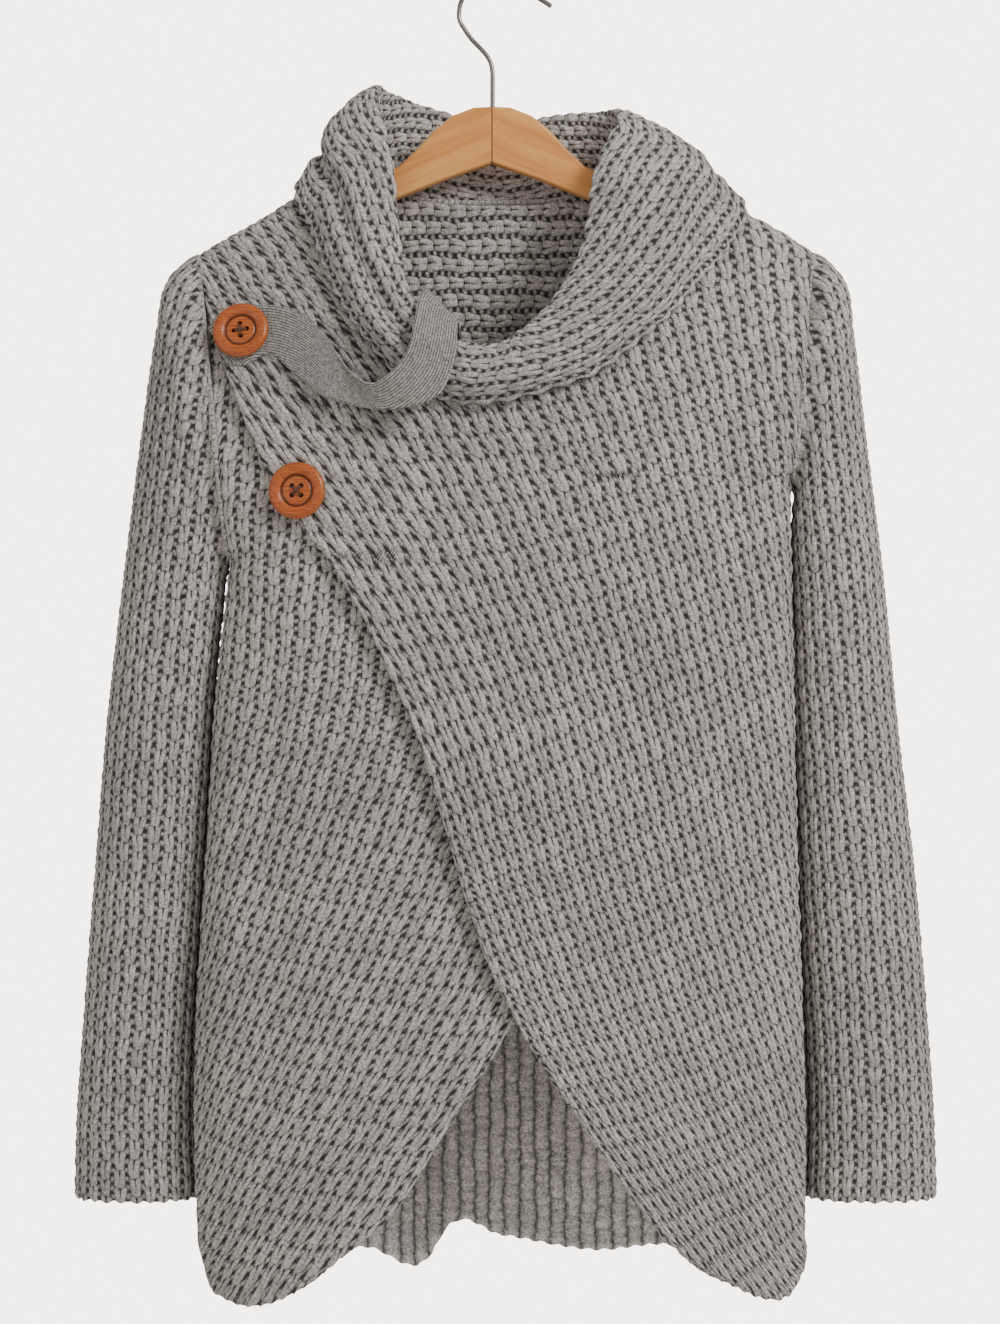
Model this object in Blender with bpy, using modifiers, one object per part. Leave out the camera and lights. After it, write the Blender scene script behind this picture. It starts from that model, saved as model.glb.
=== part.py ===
"""A cowl neck wrap sweater of thick ribbed knit, hanging on a wooden hanger.

Sizes and tables are in millimetres; finish_mesh() turns them into metres.
+X is the viewer's right, +Z is up and the front faces -Y.
The origin is the inside top of the hanger's hook, where a rail would carry it.
"""
import math

import bmesh
import bpy
import numpy as np
from mathutils import Matrix, Vector

MM = 0.001

# Cloth
WALL = 2.5             # thickness of the knit wall without its ribs
RIB_HEIGHT = 0.8       # how far a rib stands out of the wall
SEAM_GAP = 0.35        # space between two pieces at a seam
LAYER_SPACE = 5.6      # from the over panel's face to the under panel's face
UNDER_DROP = 14.0      # how far the under panel's top edge lies below the ridge
STRAP_WALL = 1.5       # thickness of the fine jersey strap
SEAM_LAP = 2.0         # how far the collar's seam laps over the neckline
SEAM_LIFT = 1.0        # how far the collar's seam lies off the body there
RIDGE_LIFT = 2.0       # how much further off the collar's edges lie on the shoulder ridge
FALL_SPACE = 3.0       # from the body to the inside of the collar's free edge
ROLL_ROUNDING = 90     # passes that round off the collar's roll
UNDER_LEAD = 32.0      # where the under panel starts to go inward, before the over panel's edge
UNDER_RUN = 26.0       # width over which it gets there

# Grid of each piece: columns and rows
BACK_COLS, BACK_ROWS = 88, 11
FRONT_COLS, FRONT_ROWS = 44, 13
SLEEVE_COLS = 48
COLLAR_COLS, COLLAR_ROWS = 48, 15
PIT_ROWS = {-1: 0.58, 1: 0.52}    # share of a panel's rows that lie above the armpit
NECK_CENTRE = (4.0, -160.0)       # x and z that the neckline runs round

# Body form
CENTRE_X = 8.0         # middle line of the hanging body
ROUNDNESS = 2.6        # exponent of the body's horizontal section
RIDGE_RADIUS = 13.0    # roundness of the cloth over the hanger
BEAD_POWER = 0.35      # how that roundness thins out towards the sides
SHOULDER_DROP = 95.0   # height over which the depth grows from the ridge
ARMHOLE_INSET = 0.14   # how much of the half width the armhole cuts away
ARMHOLE_RISE = 70.0    # height over which the armhole opens above the armpit
ROW_CROWDING = 2.2     # how much closer a panel's rows stand at the shoulders
SIDE_CROWDING = 0.4    # how much closer a panel's columns stand at its sides

# Top line of the shoulders, seen from the front: x, z
RIDGE = (
    (-215, -192), (-190, -177), (-175, -168), (-150, -154), (-125, -138.5),
    (-88, -122), (-40, -108), (0, -104), (45, -106), (92, -118),
    (125, -132), (165, -150), (194, -166), (208, -175.5), (232, -190),
)

# Depth of the body in front of and behind the hanger: z, front, back
DEPTH = (
    (-100, 20, 19), (-190, 24, 21), (-250, 38, 27), (-330, 50, 31), (-450, 58, 35),
    (-600, 62, 38), (-750, 64, 42), (-862, 62, 44),
)

# Side seams below the armpits: z, left x, right x
SIDES = (
    (-320, -163, 193), (-375, -169, 193.7), (-466, -178.8, 195.7), (-563, -184.6, 198),
    (-661, -191, 201.5), (-758, -192.4, 204), (-823, -189, 202), (-862, -184, 200),
)

# Armholes lie in a plane each: x and z at the shoulder, x and z at the armpit
ARMHOLE = {
    -1: (-190.0, -177.0, -169.0, -375.0),
    1: (208.0, -175.5, 193.2, -323.0),
}

# Neck seam on the front and on the back: x, z
NECK_FRONT = (
    (-88, -122), (-80, -150), (-70, -185), (-57, -219), (-36, -247), (-2, -261),
    (30, -249), (52, -224), (68, -188), (82, -150), (92, -118),
)
NECK_BACK = ((-88, -122), (-70, -133), (-40, -140), (2, -142), (46, -139), (74, -130), (92, -118))

# Lower edge of the over panel, from the left shoulder down to the right hem: x, z
OVER_EDGE = (
    (-188, -196), (-181, -223), (-163, -274), (-139, -329), (-99, -383), (-80, -415),
    (-63, -452), (-46, -490), (-33, -534), (-20, -578), (-6, -622), (11, -659),
    (33, -697), (58, -734), (83, -772), (108, -803), (127, -821), (152, -835),
    (174, -845), (190, -843), (199.5, -828),
)

# Lower edge of the under panel, from the left hem up to the right shoulder: x, z
UNDER_EDGE = (
    (-189, -815), (-182, -838), (-170, -847), (-149, -849), (-121, -837), (-93, -815),
    (-77, -802), (-58, -783), (-33, -742), (-8, -704), (11, -673), (35, -635),
    (60, -588), (85, -530), (110, -460), (135, -400), (160, -335), (182, -260), (205.7, -198),
)

# Hem of the back panel: x, z
BACK_HEM = (
    (-188, -832), (-150, -840), (-84, -830), (-41, -836), (-30, -817), (5, -822),
    (72, -832), (115, -828), (160, -838), (202, -832),
)

# Soft folds: x and z of the upper end, x and z of the lower end, half width, depth inward
FRONT_FOLDS = (
    (150, -250, 168, -620, 20, 6.0),
    (96, -672, 140, -742, 13, 5.0),
    (-150, -420, -140, -700, 18, 4.5),
    (40, -330, 100, -560, 26, 3.5),
    (-60, -300, 10, -480, 22, 3.0),
)
BACK_FOLDS = (
    (-22, -600, -24, -860, 15, 5.0),
    (-52, -600, -54, -860, 15, -4.0),
    (-118, -260, -128, -760, 22, 6.0),
    (66, -240, 72, -700, 24, 5.0),
    (140, -320, 150, -820, 18, 6.0),
)

# Sleeve sections: outer x, outer z, inner x, inner z, front depth, back depth, middle y
SLEEVE_LEFT = (
    (-200, -182, -172.2, -383, 29, 23, 0),
    (-211, -195, -175, -393, 31, 24, 0),
    (-218, -228, -177.5, -406, 31, 25, 1),
    (-227, -290, -180.5, -426, 31, 27, 2),
    (-238, -375, -183.5, -462, 31, 28, 4),
    (-250, -478, -186.5, -520, 31, 29, 5),
    (-258, -572, -191, -590, 30, 29, 7),
    (-265.5, -665, -195.3, -668, 30, 30, 9),
    (-271, -745, -197, -745, 29, 29, 10),
    (-272, -789.5, -194, -789.5, 27, 27, 10),
)
SLEEVE_RIGHT = (
    (218, -181, 196.6, -331, 29, 23, 0),
    (229, -195, 198.3, -341, 31, 24, 0),
    (234.5, -228, 199.2, -355, 31, 25, 1),
    (242, -290, 199.8, -378, 31, 27, 2),
    (253, -375, 200.2, -415, 31, 28, 4),
    (264, -485, 201.5, -500, 31, 29, 5),
    (274.5, -572, 204, -580, 30, 29, 7),
    (283, -665, 208, -665, 30, 30, 9),
    (288.5, -745, 210.5, -745, 29, 29, 10),
    (290, -789.5, 209, -789.5, 27, 27, 10),
)

# Collar sections round the neck, from the front over the left shoulder to the back and the right.
# face (1 front, 0 ridge, -1 back), seam x, roll x y z, bulge x y z, edge x, edge z
COLLAR = (
    (1, -2, 0, -50, -238, -4, -62, -262, -5, -279),
    (1, -36, -32, -50, -232, -44, -60, -252, -51, -267),
    (1, -57, -49, -46, -213, -68, -56, -226, -84, -232),
    (1, -70, -57, -38, -176, -83, -48, -186, -104, -198),
    (1, -81, -62, -25, -120, -96, -36, -140, -117, -163),
    (0, -88, -73, 0, -66, -104, -4, -88, -127, -134),
    (-1, -76, -62, 22, -64, -92, 30, -100, -112, -164),
    (-1, -40, -36, 34, -71, -54, 48, -116, -62, -186),
    (-1, 2, 4, 39, -81, 4, 55, -128, 4, -194),
    (-1, 46, 40, 35, -75, 60, 49, -118, 74, -188),
    (-1, 80, 68, 22, -76, 112, 30, -110, 134, -170),
    (0, 92, 82, 0, -83, 128, -3, -104, 163, -146),
    (1, 83, 65, -25, -122, 118, -36, -140, 153, -174),
    (1, 68, 58, -38, -170, 100, -48, -184, 134, -198),
    (1, 52, 43, -46, -202, 76, -57, -217, 104, -230),
    (1, 30, 22, -50, -226, 42, -61, -246, 58, -263),
)

# Strap from its loose end, under the upper button and over the collar into the neck:
# upper x, upper z, lower x, lower z, lift off the body's front
STRAP = (
    (-182.5, -226.5, -166.7, -251.7, 0.9),
    (-170.5, -216.4, -154.7, -251.7, 0.9),
    (-157.2, -212.6, -147.7, -246.0, 0.9),
    (-145.2, -212.6, -140.0, -245.0, 1.6),
    (-133.8, -214.5, -131.3, -253.0, 3.5),
    (-121.2, -220.2, -119.3, -264.0, 6.0),
    (-107.9, -230.9, -107.9, -273.0, 9.0),
    (-98.4, -245.4, -92.8, -278.3, 11.0),
    (-89.6, -258.1, -80.1, -281.5, 14.0),
    (-77.6, -266.4, -66.5, -283.2, 20.0),
    (-67.5, -263.0, -47.9, -281.0, 25.5),
    (-58.6, -254.2, -33.7, -274.6, 27.0),
    (-52.0, -242.9, -26.8, -263.8, 27.5),
    (-48.9, -227.6, -22.4, -246.4, 26.0),
    (-45.0, -208.0, -21.3, -229.0, 17.0),
    (-40.0, -204.0, -20.0, -226.0, 6.0),
    (-37.0, -214.0, -19.0, -236.0, -2.0),
)

# Buttons
BUTTON_FOOT = 15.5     # radius of the button's flat back
BUTTON_PLACES = {"button_upper": (-159.5, -231.0), "button_lower": (-123.0, -333.0)}
BUTTON_STACKS = {"button_upper": 2.9, "button_lower": 0.2}    # space for what lies under the button
HOLE_RADIUS = 1.6
HOLE_REACH = 4.2
HOLE_TURN = 20.0       # angle of the first hole
DRILL_LENGTH = 20.0
BUTTON_PROFILE = (
    (0.02, 4.2), (8.6, 4.2), (9.4, 3.4), (10.2, 3.4), (10.9, 4.9), (14.5, 6.2),
    (17.0, 5.6), (18.3, 3.6), (17.8, 1.4), (15.5, 0.2), (0.02, 0.0),
)

# Hanger and hook
HANGER_HALF = 190.0
HANGER_THICKNESS = 10.5
HANGER_ROUNDING = 3.2
HANGER_TOP = ((0, -81), (12, -81.6), (26, -87), (38, -97), (48, -108), (60, -119.5))
HANGER_BOTTOM = ((0, -117.6), (30, -128), (60, -140))
ARM_TOP_SLOPE = 0.475
ARM_BOTTOM_SLOPE = 0.40
WIRE_RADIUS = 1.6
STEM_X = 0.3
STEM_DEPTH = 18.0
HOOK_RADIUS = 21.5
HOOK_CENTRE_Z = -19.9


# Shared mathematics
def column(table, index):
    """One column of a table as an array."""
    return np.array([row[index] for row in table], dtype=float)


def smooth(keys, values, at):
    """A smooth curve through a table's points, flat beyond its ends."""
    slopes = np.gradient(values, keys)
    if keys[-1] < keys[0]:
        keys, values, slopes = keys[::-1], values[::-1], slopes[::-1]
    at = np.clip(np.asarray(at, dtype=float), keys[0], keys[-1])
    cell = np.clip(np.searchsorted(keys, at) - 1, 0, len(keys) - 2)
    width = keys[cell + 1] - keys[cell]
    t = (at - keys[cell]) / width
    near = (1 + 2 * t) * (1 - t) ** 2 * values[cell] + t * (1 - t) ** 2 * width * slopes[cell]
    far = t * t * (3 - 2 * t) * values[cell + 1] + t * t * (t - 1) * width * slopes[cell + 1]
    return near + far


def ease(t):
    """Goes from 0 to 1 with level ends."""
    t = np.clip(t, 0, 1)
    return t * t * (3 - 2 * t)


def ridge(x):
    return smooth(column(RIDGE, 0), column(RIDGE, 1), x)


def armhole_x(z, side):
    """x of the armhole's plane at a height."""
    top_x, top_z, pit_x, pit_z = ARMHOLE[side]
    return top_x + (pit_x - top_x) * (z - top_z) / (pit_z - top_z)


def half_width(z, side):
    """Half width of the body's section; above the armpit it reaches past the armhole."""
    pit_z = ARMHOLE[side][3]
    below = smooth(column(SIDES, 0), column(SIDES, 1 if side < 0 else 2), np.minimum(z, pit_z))
    opened = 1 - ARMHOLE_INSET * np.clip((z - pit_z) / ARMHOLE_RISE, 0, 1) ** 0.8
    above = CENTRE_X + (armhole_x(z, side) - CENTRE_X) / opened
    return np.abs(np.where(z < pit_z, below, above) - CENTRE_X)


def widths(x_or_turn, z):
    """Half width on the side that a point lies on."""
    left = half_width(z, -1)
    right = half_width(z, 1)
    return np.where(x_or_turn < 0, left, right)


def turn_of(x, z):
    """Turn round the body's section, -1 at the left side and 1 at the right one."""
    offset = np.asarray(x, dtype=float) - CENTRE_X
    share = np.clip(np.abs(offset) / widths(offset, z), 0, 1)
    return np.sign(offset) * np.arcsin(share ** (ROUNDNESS / 2)) * 2 / math.pi


def turn_limit(z, turn):
    """Turn at which a panel ends: at the armhole above the armpit and at the side seam below."""
    left = np.where(z > ARMHOLE[-1][3], -turn_of(armhole_x(z, -1), z), 1.0)
    right = np.where(z > ARMHOLE[1][3], turn_of(armhole_x(z, 1), z), 1.0)
    return np.where(turn < 0, left, right)


def place_of(x, z):
    """Place across a panel, from -1 at its left side to 1 at its right side."""
    turn = turn_of(x, z)
    return turn / turn_limit(z, turn)


def x_of(place, z):
    turn = place * turn_limit(z, place)
    share = np.abs(np.sin(turn * math.pi / 2)) ** (2 / ROUNDNESS)
    return CENTRE_X + np.sign(turn) * share * widths(turn, z)


def fold_depth(x, z, folds):
    """How far the soft folds pull the cloth inward at a place."""
    total = np.zeros(np.broadcast(x, z).shape)
    for top_x, top_z, low_x, low_z, half, depth in folds:
        run_x, run_z = low_x - top_x, low_z - top_z
        along = ((x - top_x) * run_x + (z - top_z) * run_z) / (run_x ** 2 + run_z ** 2)
        aside = np.hypot(x - top_x - along * run_x, z - top_z - along * run_z)
        ends = ease(along / 0.25) * ease((1.15 - along) / 0.3)
        total += depth * ends * np.exp(-(aside / half) ** 2)
    return total


def body_depth(x, z, face):
    """Distance of the cloth's face from the plane of the hanger; face is 1 in front, -1 behind."""
    offset = x - CENTRE_X
    share = np.clip(np.abs(offset) / widths(offset, z), 0, 1)
    side = (1 - share ** ROUNDNESS) ** (1 / ROUNDNESS)
    drop = np.maximum(ridge(x) - z, 0)
    over = 1 - np.minimum(drop, RIDGE_RADIUS) / RIDGE_RADIUS
    full = smooth(column(DEPTH, 0), column(DEPTH, 1 if face > 0 else 2), z)
    grown = 1 - (1 - np.clip(drop / SHOULDER_DROP, 0, 1)) ** 2
    folds = fold_depth(x, z, FRONT_FOLDS if face > 0 else BACK_FOLDS) * side
    bead = RIDGE_RADIUS * np.sqrt(1 - over ** 2) * side ** BEAD_POWER
    return bead + (full - RIDGE_RADIUS) * grown * side - folds


def body_point(x, z, face):
    y = -face * body_depth(x, z, face)
    return np.stack(np.broadcast_arrays(x, y, z), axis=-1)


def body_normal(x, z, face):
    """Outward direction of the body's face."""
    step = 0.5
    across = body_point(x + step, z, face) - body_point(x - step, z, face)
    down = body_point(x, z - step, face) - body_point(x, z + step, face)
    normal = np.cross(down, across) * face
    return normal / np.linalg.norm(normal, axis=-1, keepdims=True)


def grid_normals(grid, sign, closed):
    """Direction square to a grid of points, from its neighbours."""
    down = np.gradient(grid, axis=0)
    if closed:
        across = np.roll(grid, -1, axis=1) - np.roll(grid, 1, axis=1)
    else:
        across = np.gradient(grid, axis=1)
    normal = np.cross(down, across) * sign
    return normal / np.maximum(np.linalg.norm(normal, axis=-1, keepdims=True), 1e-9)


# Making solids
def finish_mesh(name, points, faces, material, collection):
    """A named object from points in millimetres."""
    mesh = bpy.data.meshes.new(name)
    mesh.from_pydata((np.asarray(points) * MM).tolist(), [], faces)
    work = bmesh.new()
    work.from_mesh(mesh)
    bmesh.ops.recalc_face_normals(work, faces=work.faces)
    work.to_mesh(mesh)
    work.free()
    mesh.shade_smooth()
    mesh.set_sharp_from_angle(angle=math.radians(50))
    mesh.materials.append(material)
    obj = bpy.data.objects.new(name, mesh)
    collection.objects.link(obj)
    return obj


def strip(first, second, ratio):
    """Faces between a fine row of points and a coarse one."""
    if ratio == 1:
        return [(first[k], first[k + 1], second[k + 1], second[k]) for k in range(len(first) - 1)]
    faces = []
    for k in range(len(second) - 1):
        start = k * ratio
        half = start + ratio // 2
        for j in range(start, start + ratio):
            faces.append((first[j], first[j + 1], second[k] if j < half else second[k + 1]))
        faces.append((second[k], first[half], second[k + 1]))
    return faces


def wall_solid(name, outer, inner, ratio, closed, material, collection):
    """A closed wall between an outer grid and an inner one with fewer columns."""
    rows, cols = outer.shape[:2]
    coarse = inner[:, ::ratio]
    in_rows, in_cols = coarse.shape[:2]
    points = np.concatenate([outer.reshape(-1, 3), coarse.reshape(-1, 3)])
    fine = np.arange(rows * cols).reshape(rows, cols)
    plain = rows * cols + np.arange(in_rows * in_cols).reshape(in_rows, in_cols)
    if closed:
        fine = np.concatenate([fine, fine[:, :1]], axis=1)
        plain = np.concatenate([plain, plain[:, :1]], axis=1)
    faces = []
    for ids in (fine, plain[:, ::-1]):
        for i in range(ids.shape[0] - 1):
            for j in range(ids.shape[1] - 1):
                faces.append((ids[i, j], ids[i, j + 1], ids[i + 1, j + 1], ids[i + 1, j]))
    faces += strip(fine[0], plain[0], ratio)
    faces += strip(fine[-1], plain[-1], ratio)
    if not closed:
        faces += strip(fine[:, 0], plain[:, 0], 1)
        faces += strip(fine[:, -1], plain[:, -1], 1)
    faces = [tuple(int(index) for index in face) for face in faces]
    return finish_mesh(name, points, faces, material, collection)


def ribbed(grid, normals):
    """Every second column of the grid stands out as a rib."""
    raised = grid.copy()
    raised[:, 1::2] += RIB_HEIGHT * normals[:, 1::2]
    return raised


def make_material(name, colour, roughness, metallic=0.0):
    material = bpy.data.materials.new(name)
    material.use_nodes = True
    shader = material.node_tree.nodes["Principled BSDF"]
    shader.inputs["Base Color"].default_value = (*colour, 1)
    shader.inputs["Roughness"].default_value = roughness
    shader.inputs["Metallic"].default_value = metallic
    return material


# Panels
def spread(u):
    """Even steps drawn closer together towards both sides."""
    return u - SIDE_CROWDING * np.sin(2 * math.pi * u) / (2 * math.pi)


def panel_grid(top, left, right, bottom, rows, cols):
    """Patch between four edges, each a function of 0..1 that gives place and z."""
    v = (np.arange(rows + 1) / rows)[:, None] ** ROW_CROWDING
    u = (np.arange(cols + 1) / cols)[None, :]
    top_edge, bottom_edge = top(u[0]), bottom(u[0])
    left_edge, right_edge = left(v[:, 0]), right(v[:, 0])
    patch = []
    for k in (0, 1):
        ruled = (1 - v) * top_edge[k][None] + v * bottom_edge[k][None]
        sided = (1 - u) * left_edge[k][:, None] + u * right_edge[k][:, None]
        corners = (1 - v) * ((1 - u) * top_edge[k][0] + u * top_edge[k][-1])
        corners = corners + v * ((1 - u) * bottom_edge[k][0] + u * bottom_edge[k][-1])
        patch.append(ruled + sided - corners)
    return patch


def top_edge_of(neck, lower):
    """Shoulder ridge with the neck seam let into it."""
    def edge(u):
        start, end = ARMHOLE[-1][0], ARMHOLE[1][0]
        x = start + (end - start) * spread(u)
        z = ridge(x) - lower
        inside = (x > neck[0][0]) & (x < neck[-1][0])
        seam = smooth(column(neck, 0), column(neck, 1), x) - lower / 3
        z = np.where(inside, np.minimum(seam, z), z)
        place = place_of(x, z)
        place[0], place[-1] = -1, 1
        return place, z
    return edge


def lower_edge_of(table):
    """A panel's lower edge, from its left side to its right side."""
    def edge(u):
        x = table[0][0] + (table[-1][0] - table[0][0]) * spread(u)
        z = smooth(column(table, 0), column(table, 1), x)
        place = place_of(x, z)
        place[0], place[-1] = -1, 1
        return place, z
    return edge


def side_edge_of(side, top_z, low_z, pit_share):
    """Armhole and side seam, with a point at the armpit where the edge reaches it."""
    pit_z = ARMHOLE[side][3]

    def edge(v):
        if low_z < pit_z:
            z = np.interp(v, [0, pit_share, 1], [top_z, pit_z, low_z])
        else:
            z = top_z + (low_z - top_z) * v
        return np.full(len(z), float(side)), z
    return edge


def make_panel(name, face, neck, bottom_table, cols, rows, inset, material, collection):
    """A front or back panel: its grid on the body, its ribs and its wall."""
    lower = UNDER_DROP if inset else 0.0
    top = top_edge_of(neck, lower)
    bottom = lower_edge_of(bottom_table)
    top_z = [float(ridge(ARMHOLE[side][0])) - lower for side in (-1, 1)]
    pit_shares = [(round(PIT_ROWS[side] * rows) / rows) ** ROW_CROWDING for side in (-1, 1)]
    left = side_edge_of(-1, top_z[0], bottom_table[0][1], pit_shares[0])
    right = side_edge_of(1, top_z[1], bottom_table[-1][1], pit_shares[1])
    place, z = panel_grid(top, left, right, bottom, rows, cols)
    x = x_of(place, z)
    grid = body_point(x, z, face)
    normals = body_normal(x, np.minimum(z, ridge(x) - 1), face)
    near = ease((ridge(x) - z) / RIDGE_RADIUS)[..., None]
    normals = normals * near + np.array([0, 0, 1.0]) * (1 - near)
    normals /= np.linalg.norm(normals, axis=-1, keepdims=True)
    for j, side in ((0, -1), (-1, 1)):
        on_seam = z[:, j] < ARMHOLE[side][3] - 0.01
        normals[on_seam, j] = (side, 0, 0)
    for edge, beside in ((0, 1), (-1, -2)):
        normals[:, beside] += normals[:, edge]
        normals[:, beside] /= np.linalg.norm(normals[:, beside], axis=-1, keepdims=True)
    if inset:
        edge_x = smooth(column(OVER_EDGE, 1), column(OVER_EDGE, 0), z)
        depth = LAYER_SPACE * ease((x - edge_x + UNDER_LEAD) / UNDER_RUN)
        grid = grid - normals * depth[..., None]
    inner = grid - WALL * normals
    for wall in (grid, inner):
        wall[..., 1] = -face * np.maximum(-face * wall[..., 1], SEAM_GAP / 2)
    if face < 0:
        grid = ribbed(grid, normals)
    return wall_solid(name, grid, inner, 1, False, material, collection)


# Sleeves
def make_sleeve(name, side, table, material, collection):
    """A tube from the armhole to the cuff, with ribs along it."""
    angle = np.arange(SLEEVE_COLS) / SLEEVE_COLS * 2 * math.pi
    along = (1 - np.cos(angle)) / 2
    front = angle <= math.pi
    top_x, top_z, pit_x, pit_z = ARMHOLE[side]
    z = top_z + (pit_z - top_z) * along
    x = armhole_x(z, side)
    depth = np.where(front, -body_depth(x, z, 1), body_depth(x, z, -1))
    rings = [np.stack([x + side * SEAM_GAP, depth, z], axis=-1)]
    bulge = np.abs(np.sin(angle)) ** (2 / 2.4)
    for outer_x, outer_z, inner_x, inner_z, fore, aft, mid_y in table:
        ring_x = outer_x + (inner_x - outer_x) * along
        ring_z = outer_z + (inner_z - outer_z) * along
        ring_y = mid_y + bulge * np.where(front, -fore, aft)
        rings.append(np.stack([ring_x, ring_y, ring_z], axis=-1))
    grid = np.array(rings)
    normals = grid_normals(grid, -side, True)
    normals[0, :, 0] = 0
    normals[0] /= np.linalg.norm(normals[0], axis=-1, keepdims=True)
    inner = grid - WALL * normals
    return wall_solid(name, ribbed(grid, normals), inner, 2, True, material, collection)


# Collar
def loop_smooth(values, count):
    """A smooth closed curve through a table's rows, read at even steps."""
    values = np.asarray(values, dtype=float)
    n = len(values)
    at = np.arange(count) * n / count
    cell = np.floor(at).astype(int)
    t = (at - cell).reshape((-1,) + (1,) * (values.ndim - 1))
    before, here, after, later = (values[(cell + k) % n] for k in (-1, 0, 1, 2))
    slope = (after - before) / 2
    next_slope = (later - here) / 2
    near = (1 + 2 * t) * (1 - t) ** 2 * here + t * (1 - t) ** 2 * slope
    return near + t * t * (3 - 2 * t) * after + t * t * (t - 1) * next_slope


def open_smooth(values, count, passes=0):
    """A smooth open curve along a few points, rounded off and read at even steps of length."""
    values = np.asarray(values, dtype=float)
    fine = np.linspace(0, len(values) - 1, 20 * len(values))
    keys = np.arange(len(values), dtype=float)
    line = np.stack([smooth(keys, values[:, k], fine) for k in range(3)], axis=-1)
    for _ in range(passes):
        line[1:-1] = (line[:-2] + 2 * line[1:-1] + line[2:]) / 4
    length = np.concatenate([[0], np.cumsum(np.linalg.norm(np.diff(line, axis=0), axis=-1))])
    at = np.linspace(0, length[-1], count)
    return np.stack([np.interp(at, length, line[:, k]) for k in range(3)], axis=-1)


def over_body(x, drop, lift):
    """A point that lies off the body's face, by its signed drop below the shoulder ridge."""
    face = 1 if drop >= 0 else -1
    z = float(ridge(x)) - abs(drop)
    away = body_normal(x, min(z, float(ridge(x)) - 1.0), face)
    near = np.clip(abs(drop) / RIDGE_RADIUS, 0, 1)
    away = away * near + np.array([0, 0, 1.0]) * (1 - near)
    lift = lift + RIDGE_LIFT * (1 - near)
    return body_point(x, z, face) + away / np.linalg.norm(away) * lift


def collar_rings(cols):
    """Seam, roll, bulge and free edge of the collar round the neck."""
    face = column(COLLAR, 0)
    seam_x = column(COLLAR, 1)
    front_z = smooth(column(NECK_FRONT, 0), column(NECK_FRONT, 1), seam_x)
    back_z = smooth(column(NECK_BACK, 0), column(NECK_BACK, 1), seam_x)
    seam_z = np.where(face > 0, front_z, np.where(face < 0, back_z, ridge(seam_x)))
    away = np.stack([seam_x - NECK_CENTRE[0], seam_z - NECK_CENTRE[1]], axis=-1)
    away /= np.linalg.norm(away, axis=-1, keepdims=True)
    away[face == 0] = (np.sign(seam_x[face == 0])[:, None]) * np.array([[1.0, 0.0]])
    seam_x = seam_x + SEAM_LAP * away[:, 0]
    seam_z = np.where(face == 0, ridge(seam_x), seam_z + SEAM_LAP * away[:, 1])
    seam_place = loop_smooth(np.stack([seam_x, face * (ridge(seam_x) - seam_z)], axis=-1), cols)
    edge_x = column(COLLAR, 8)
    edge_place = loop_smooth(np.stack([edge_x, face * (ridge(edge_x) - column(COLLAR, 9))], axis=-1), cols)
    rounds = loop_smooth([row[2:8] for row in COLLAR], cols)
    seam = np.array([over_body(x, drop, SEAM_LIFT) for x, drop in seam_place])
    edge = np.array([over_body(x, drop, WALL + FALL_SPACE) for x, drop in edge_place])
    return seam, rounds[:, :3], rounds[:, 3:], edge


def make_collar(name, material, collection):
    """The folded cowl: from the neck seam up to the roll and down to its free edge."""
    seam, roll, bulge, edge = collar_rings(COLLAR_COLS)
    lines = []
    for s, r, b, e in zip(seam, roll, bulge, edge):
        tuck = s * 0.5 + r * 0.5
        hang = b * 0.45 + e * 0.55
        hang[1] += 0.12 * (b[1] - e[1])
        lines.append(open_smooth([s, tuck, r, b, hang, e], COLLAR_ROWS + 1, ROLL_ROUNDING))
    grid = np.array(lines).transpose(1, 0, 2)
    normals = grid_normals(grid, 1, True)
    outward = grid[-3, :, :2] - np.array([NECK_CENTRE[0], 0.0])
    if np.mean(np.sum(outward * normals[-3, :, :2], axis=-1)) < 0:
        normals = -normals
    for _ in range(2):
        normals = normals + np.roll(normals, 1, axis=1) + np.roll(normals, -1, axis=1)
        normals[1:-1] += 0.5 * (normals[:-2] + normals[2:])
        normals /= np.linalg.norm(normals, axis=-1, keepdims=True)
    return wall_solid(name, grid, grid - WALL * normals, 1, True, material, collection)


# Strap
def make_strap(name, material, collection):
    """The fine jersey strap, a flat band through its two edges."""
    columns = [column(STRAP, k) for k in range(5)]
    keys = np.arange(len(STRAP), dtype=float)
    at = np.linspace(0, len(STRAP) - 1, 2 * len(STRAP) - 1)
    up_x, up_z, low_x, low_z, lift = (smooth(keys, values, at) for values in columns)
    across = np.linspace(0, 1, 4)[None, :]
    x = up_x[:, None] + (low_x - up_x)[:, None] * across
    z = up_z[:, None] + (low_z - up_z)[:, None] * across
    y = -(body_depth(x, z, 1) + lift[:, None] + STRAP_WALL)
    grid = np.stack([x, y, z], axis=-1)
    normals = grid_normals(grid, 1, False)
    if np.mean(normals[:10, :, 1]) > 0:
        normals = -normals
    return wall_solid(name, grid, grid - STRAP_WALL * normals, 1, False, material, collection)


# Buttons
def button_seat(x, z, stack):
    """Tilt of a button that lies on the cloth, and the y of its back."""
    normal = body_normal(x, z, 1)
    angle = np.linspace(0, 2 * math.pi, 24, endpoint=False)
    rim_x = x + BUTTON_FOOT * np.cos(angle)
    rim_z = z + BUTTON_FOOT * np.sin(angle)
    rim = body_point(rim_x, rim_z, 1) + normal * stack
    centre = body_point(x, z, 1) + normal * stack
    rise = np.max((rim - centre) @ normal)
    return centre + normal * max(rise, 0), normal


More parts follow.
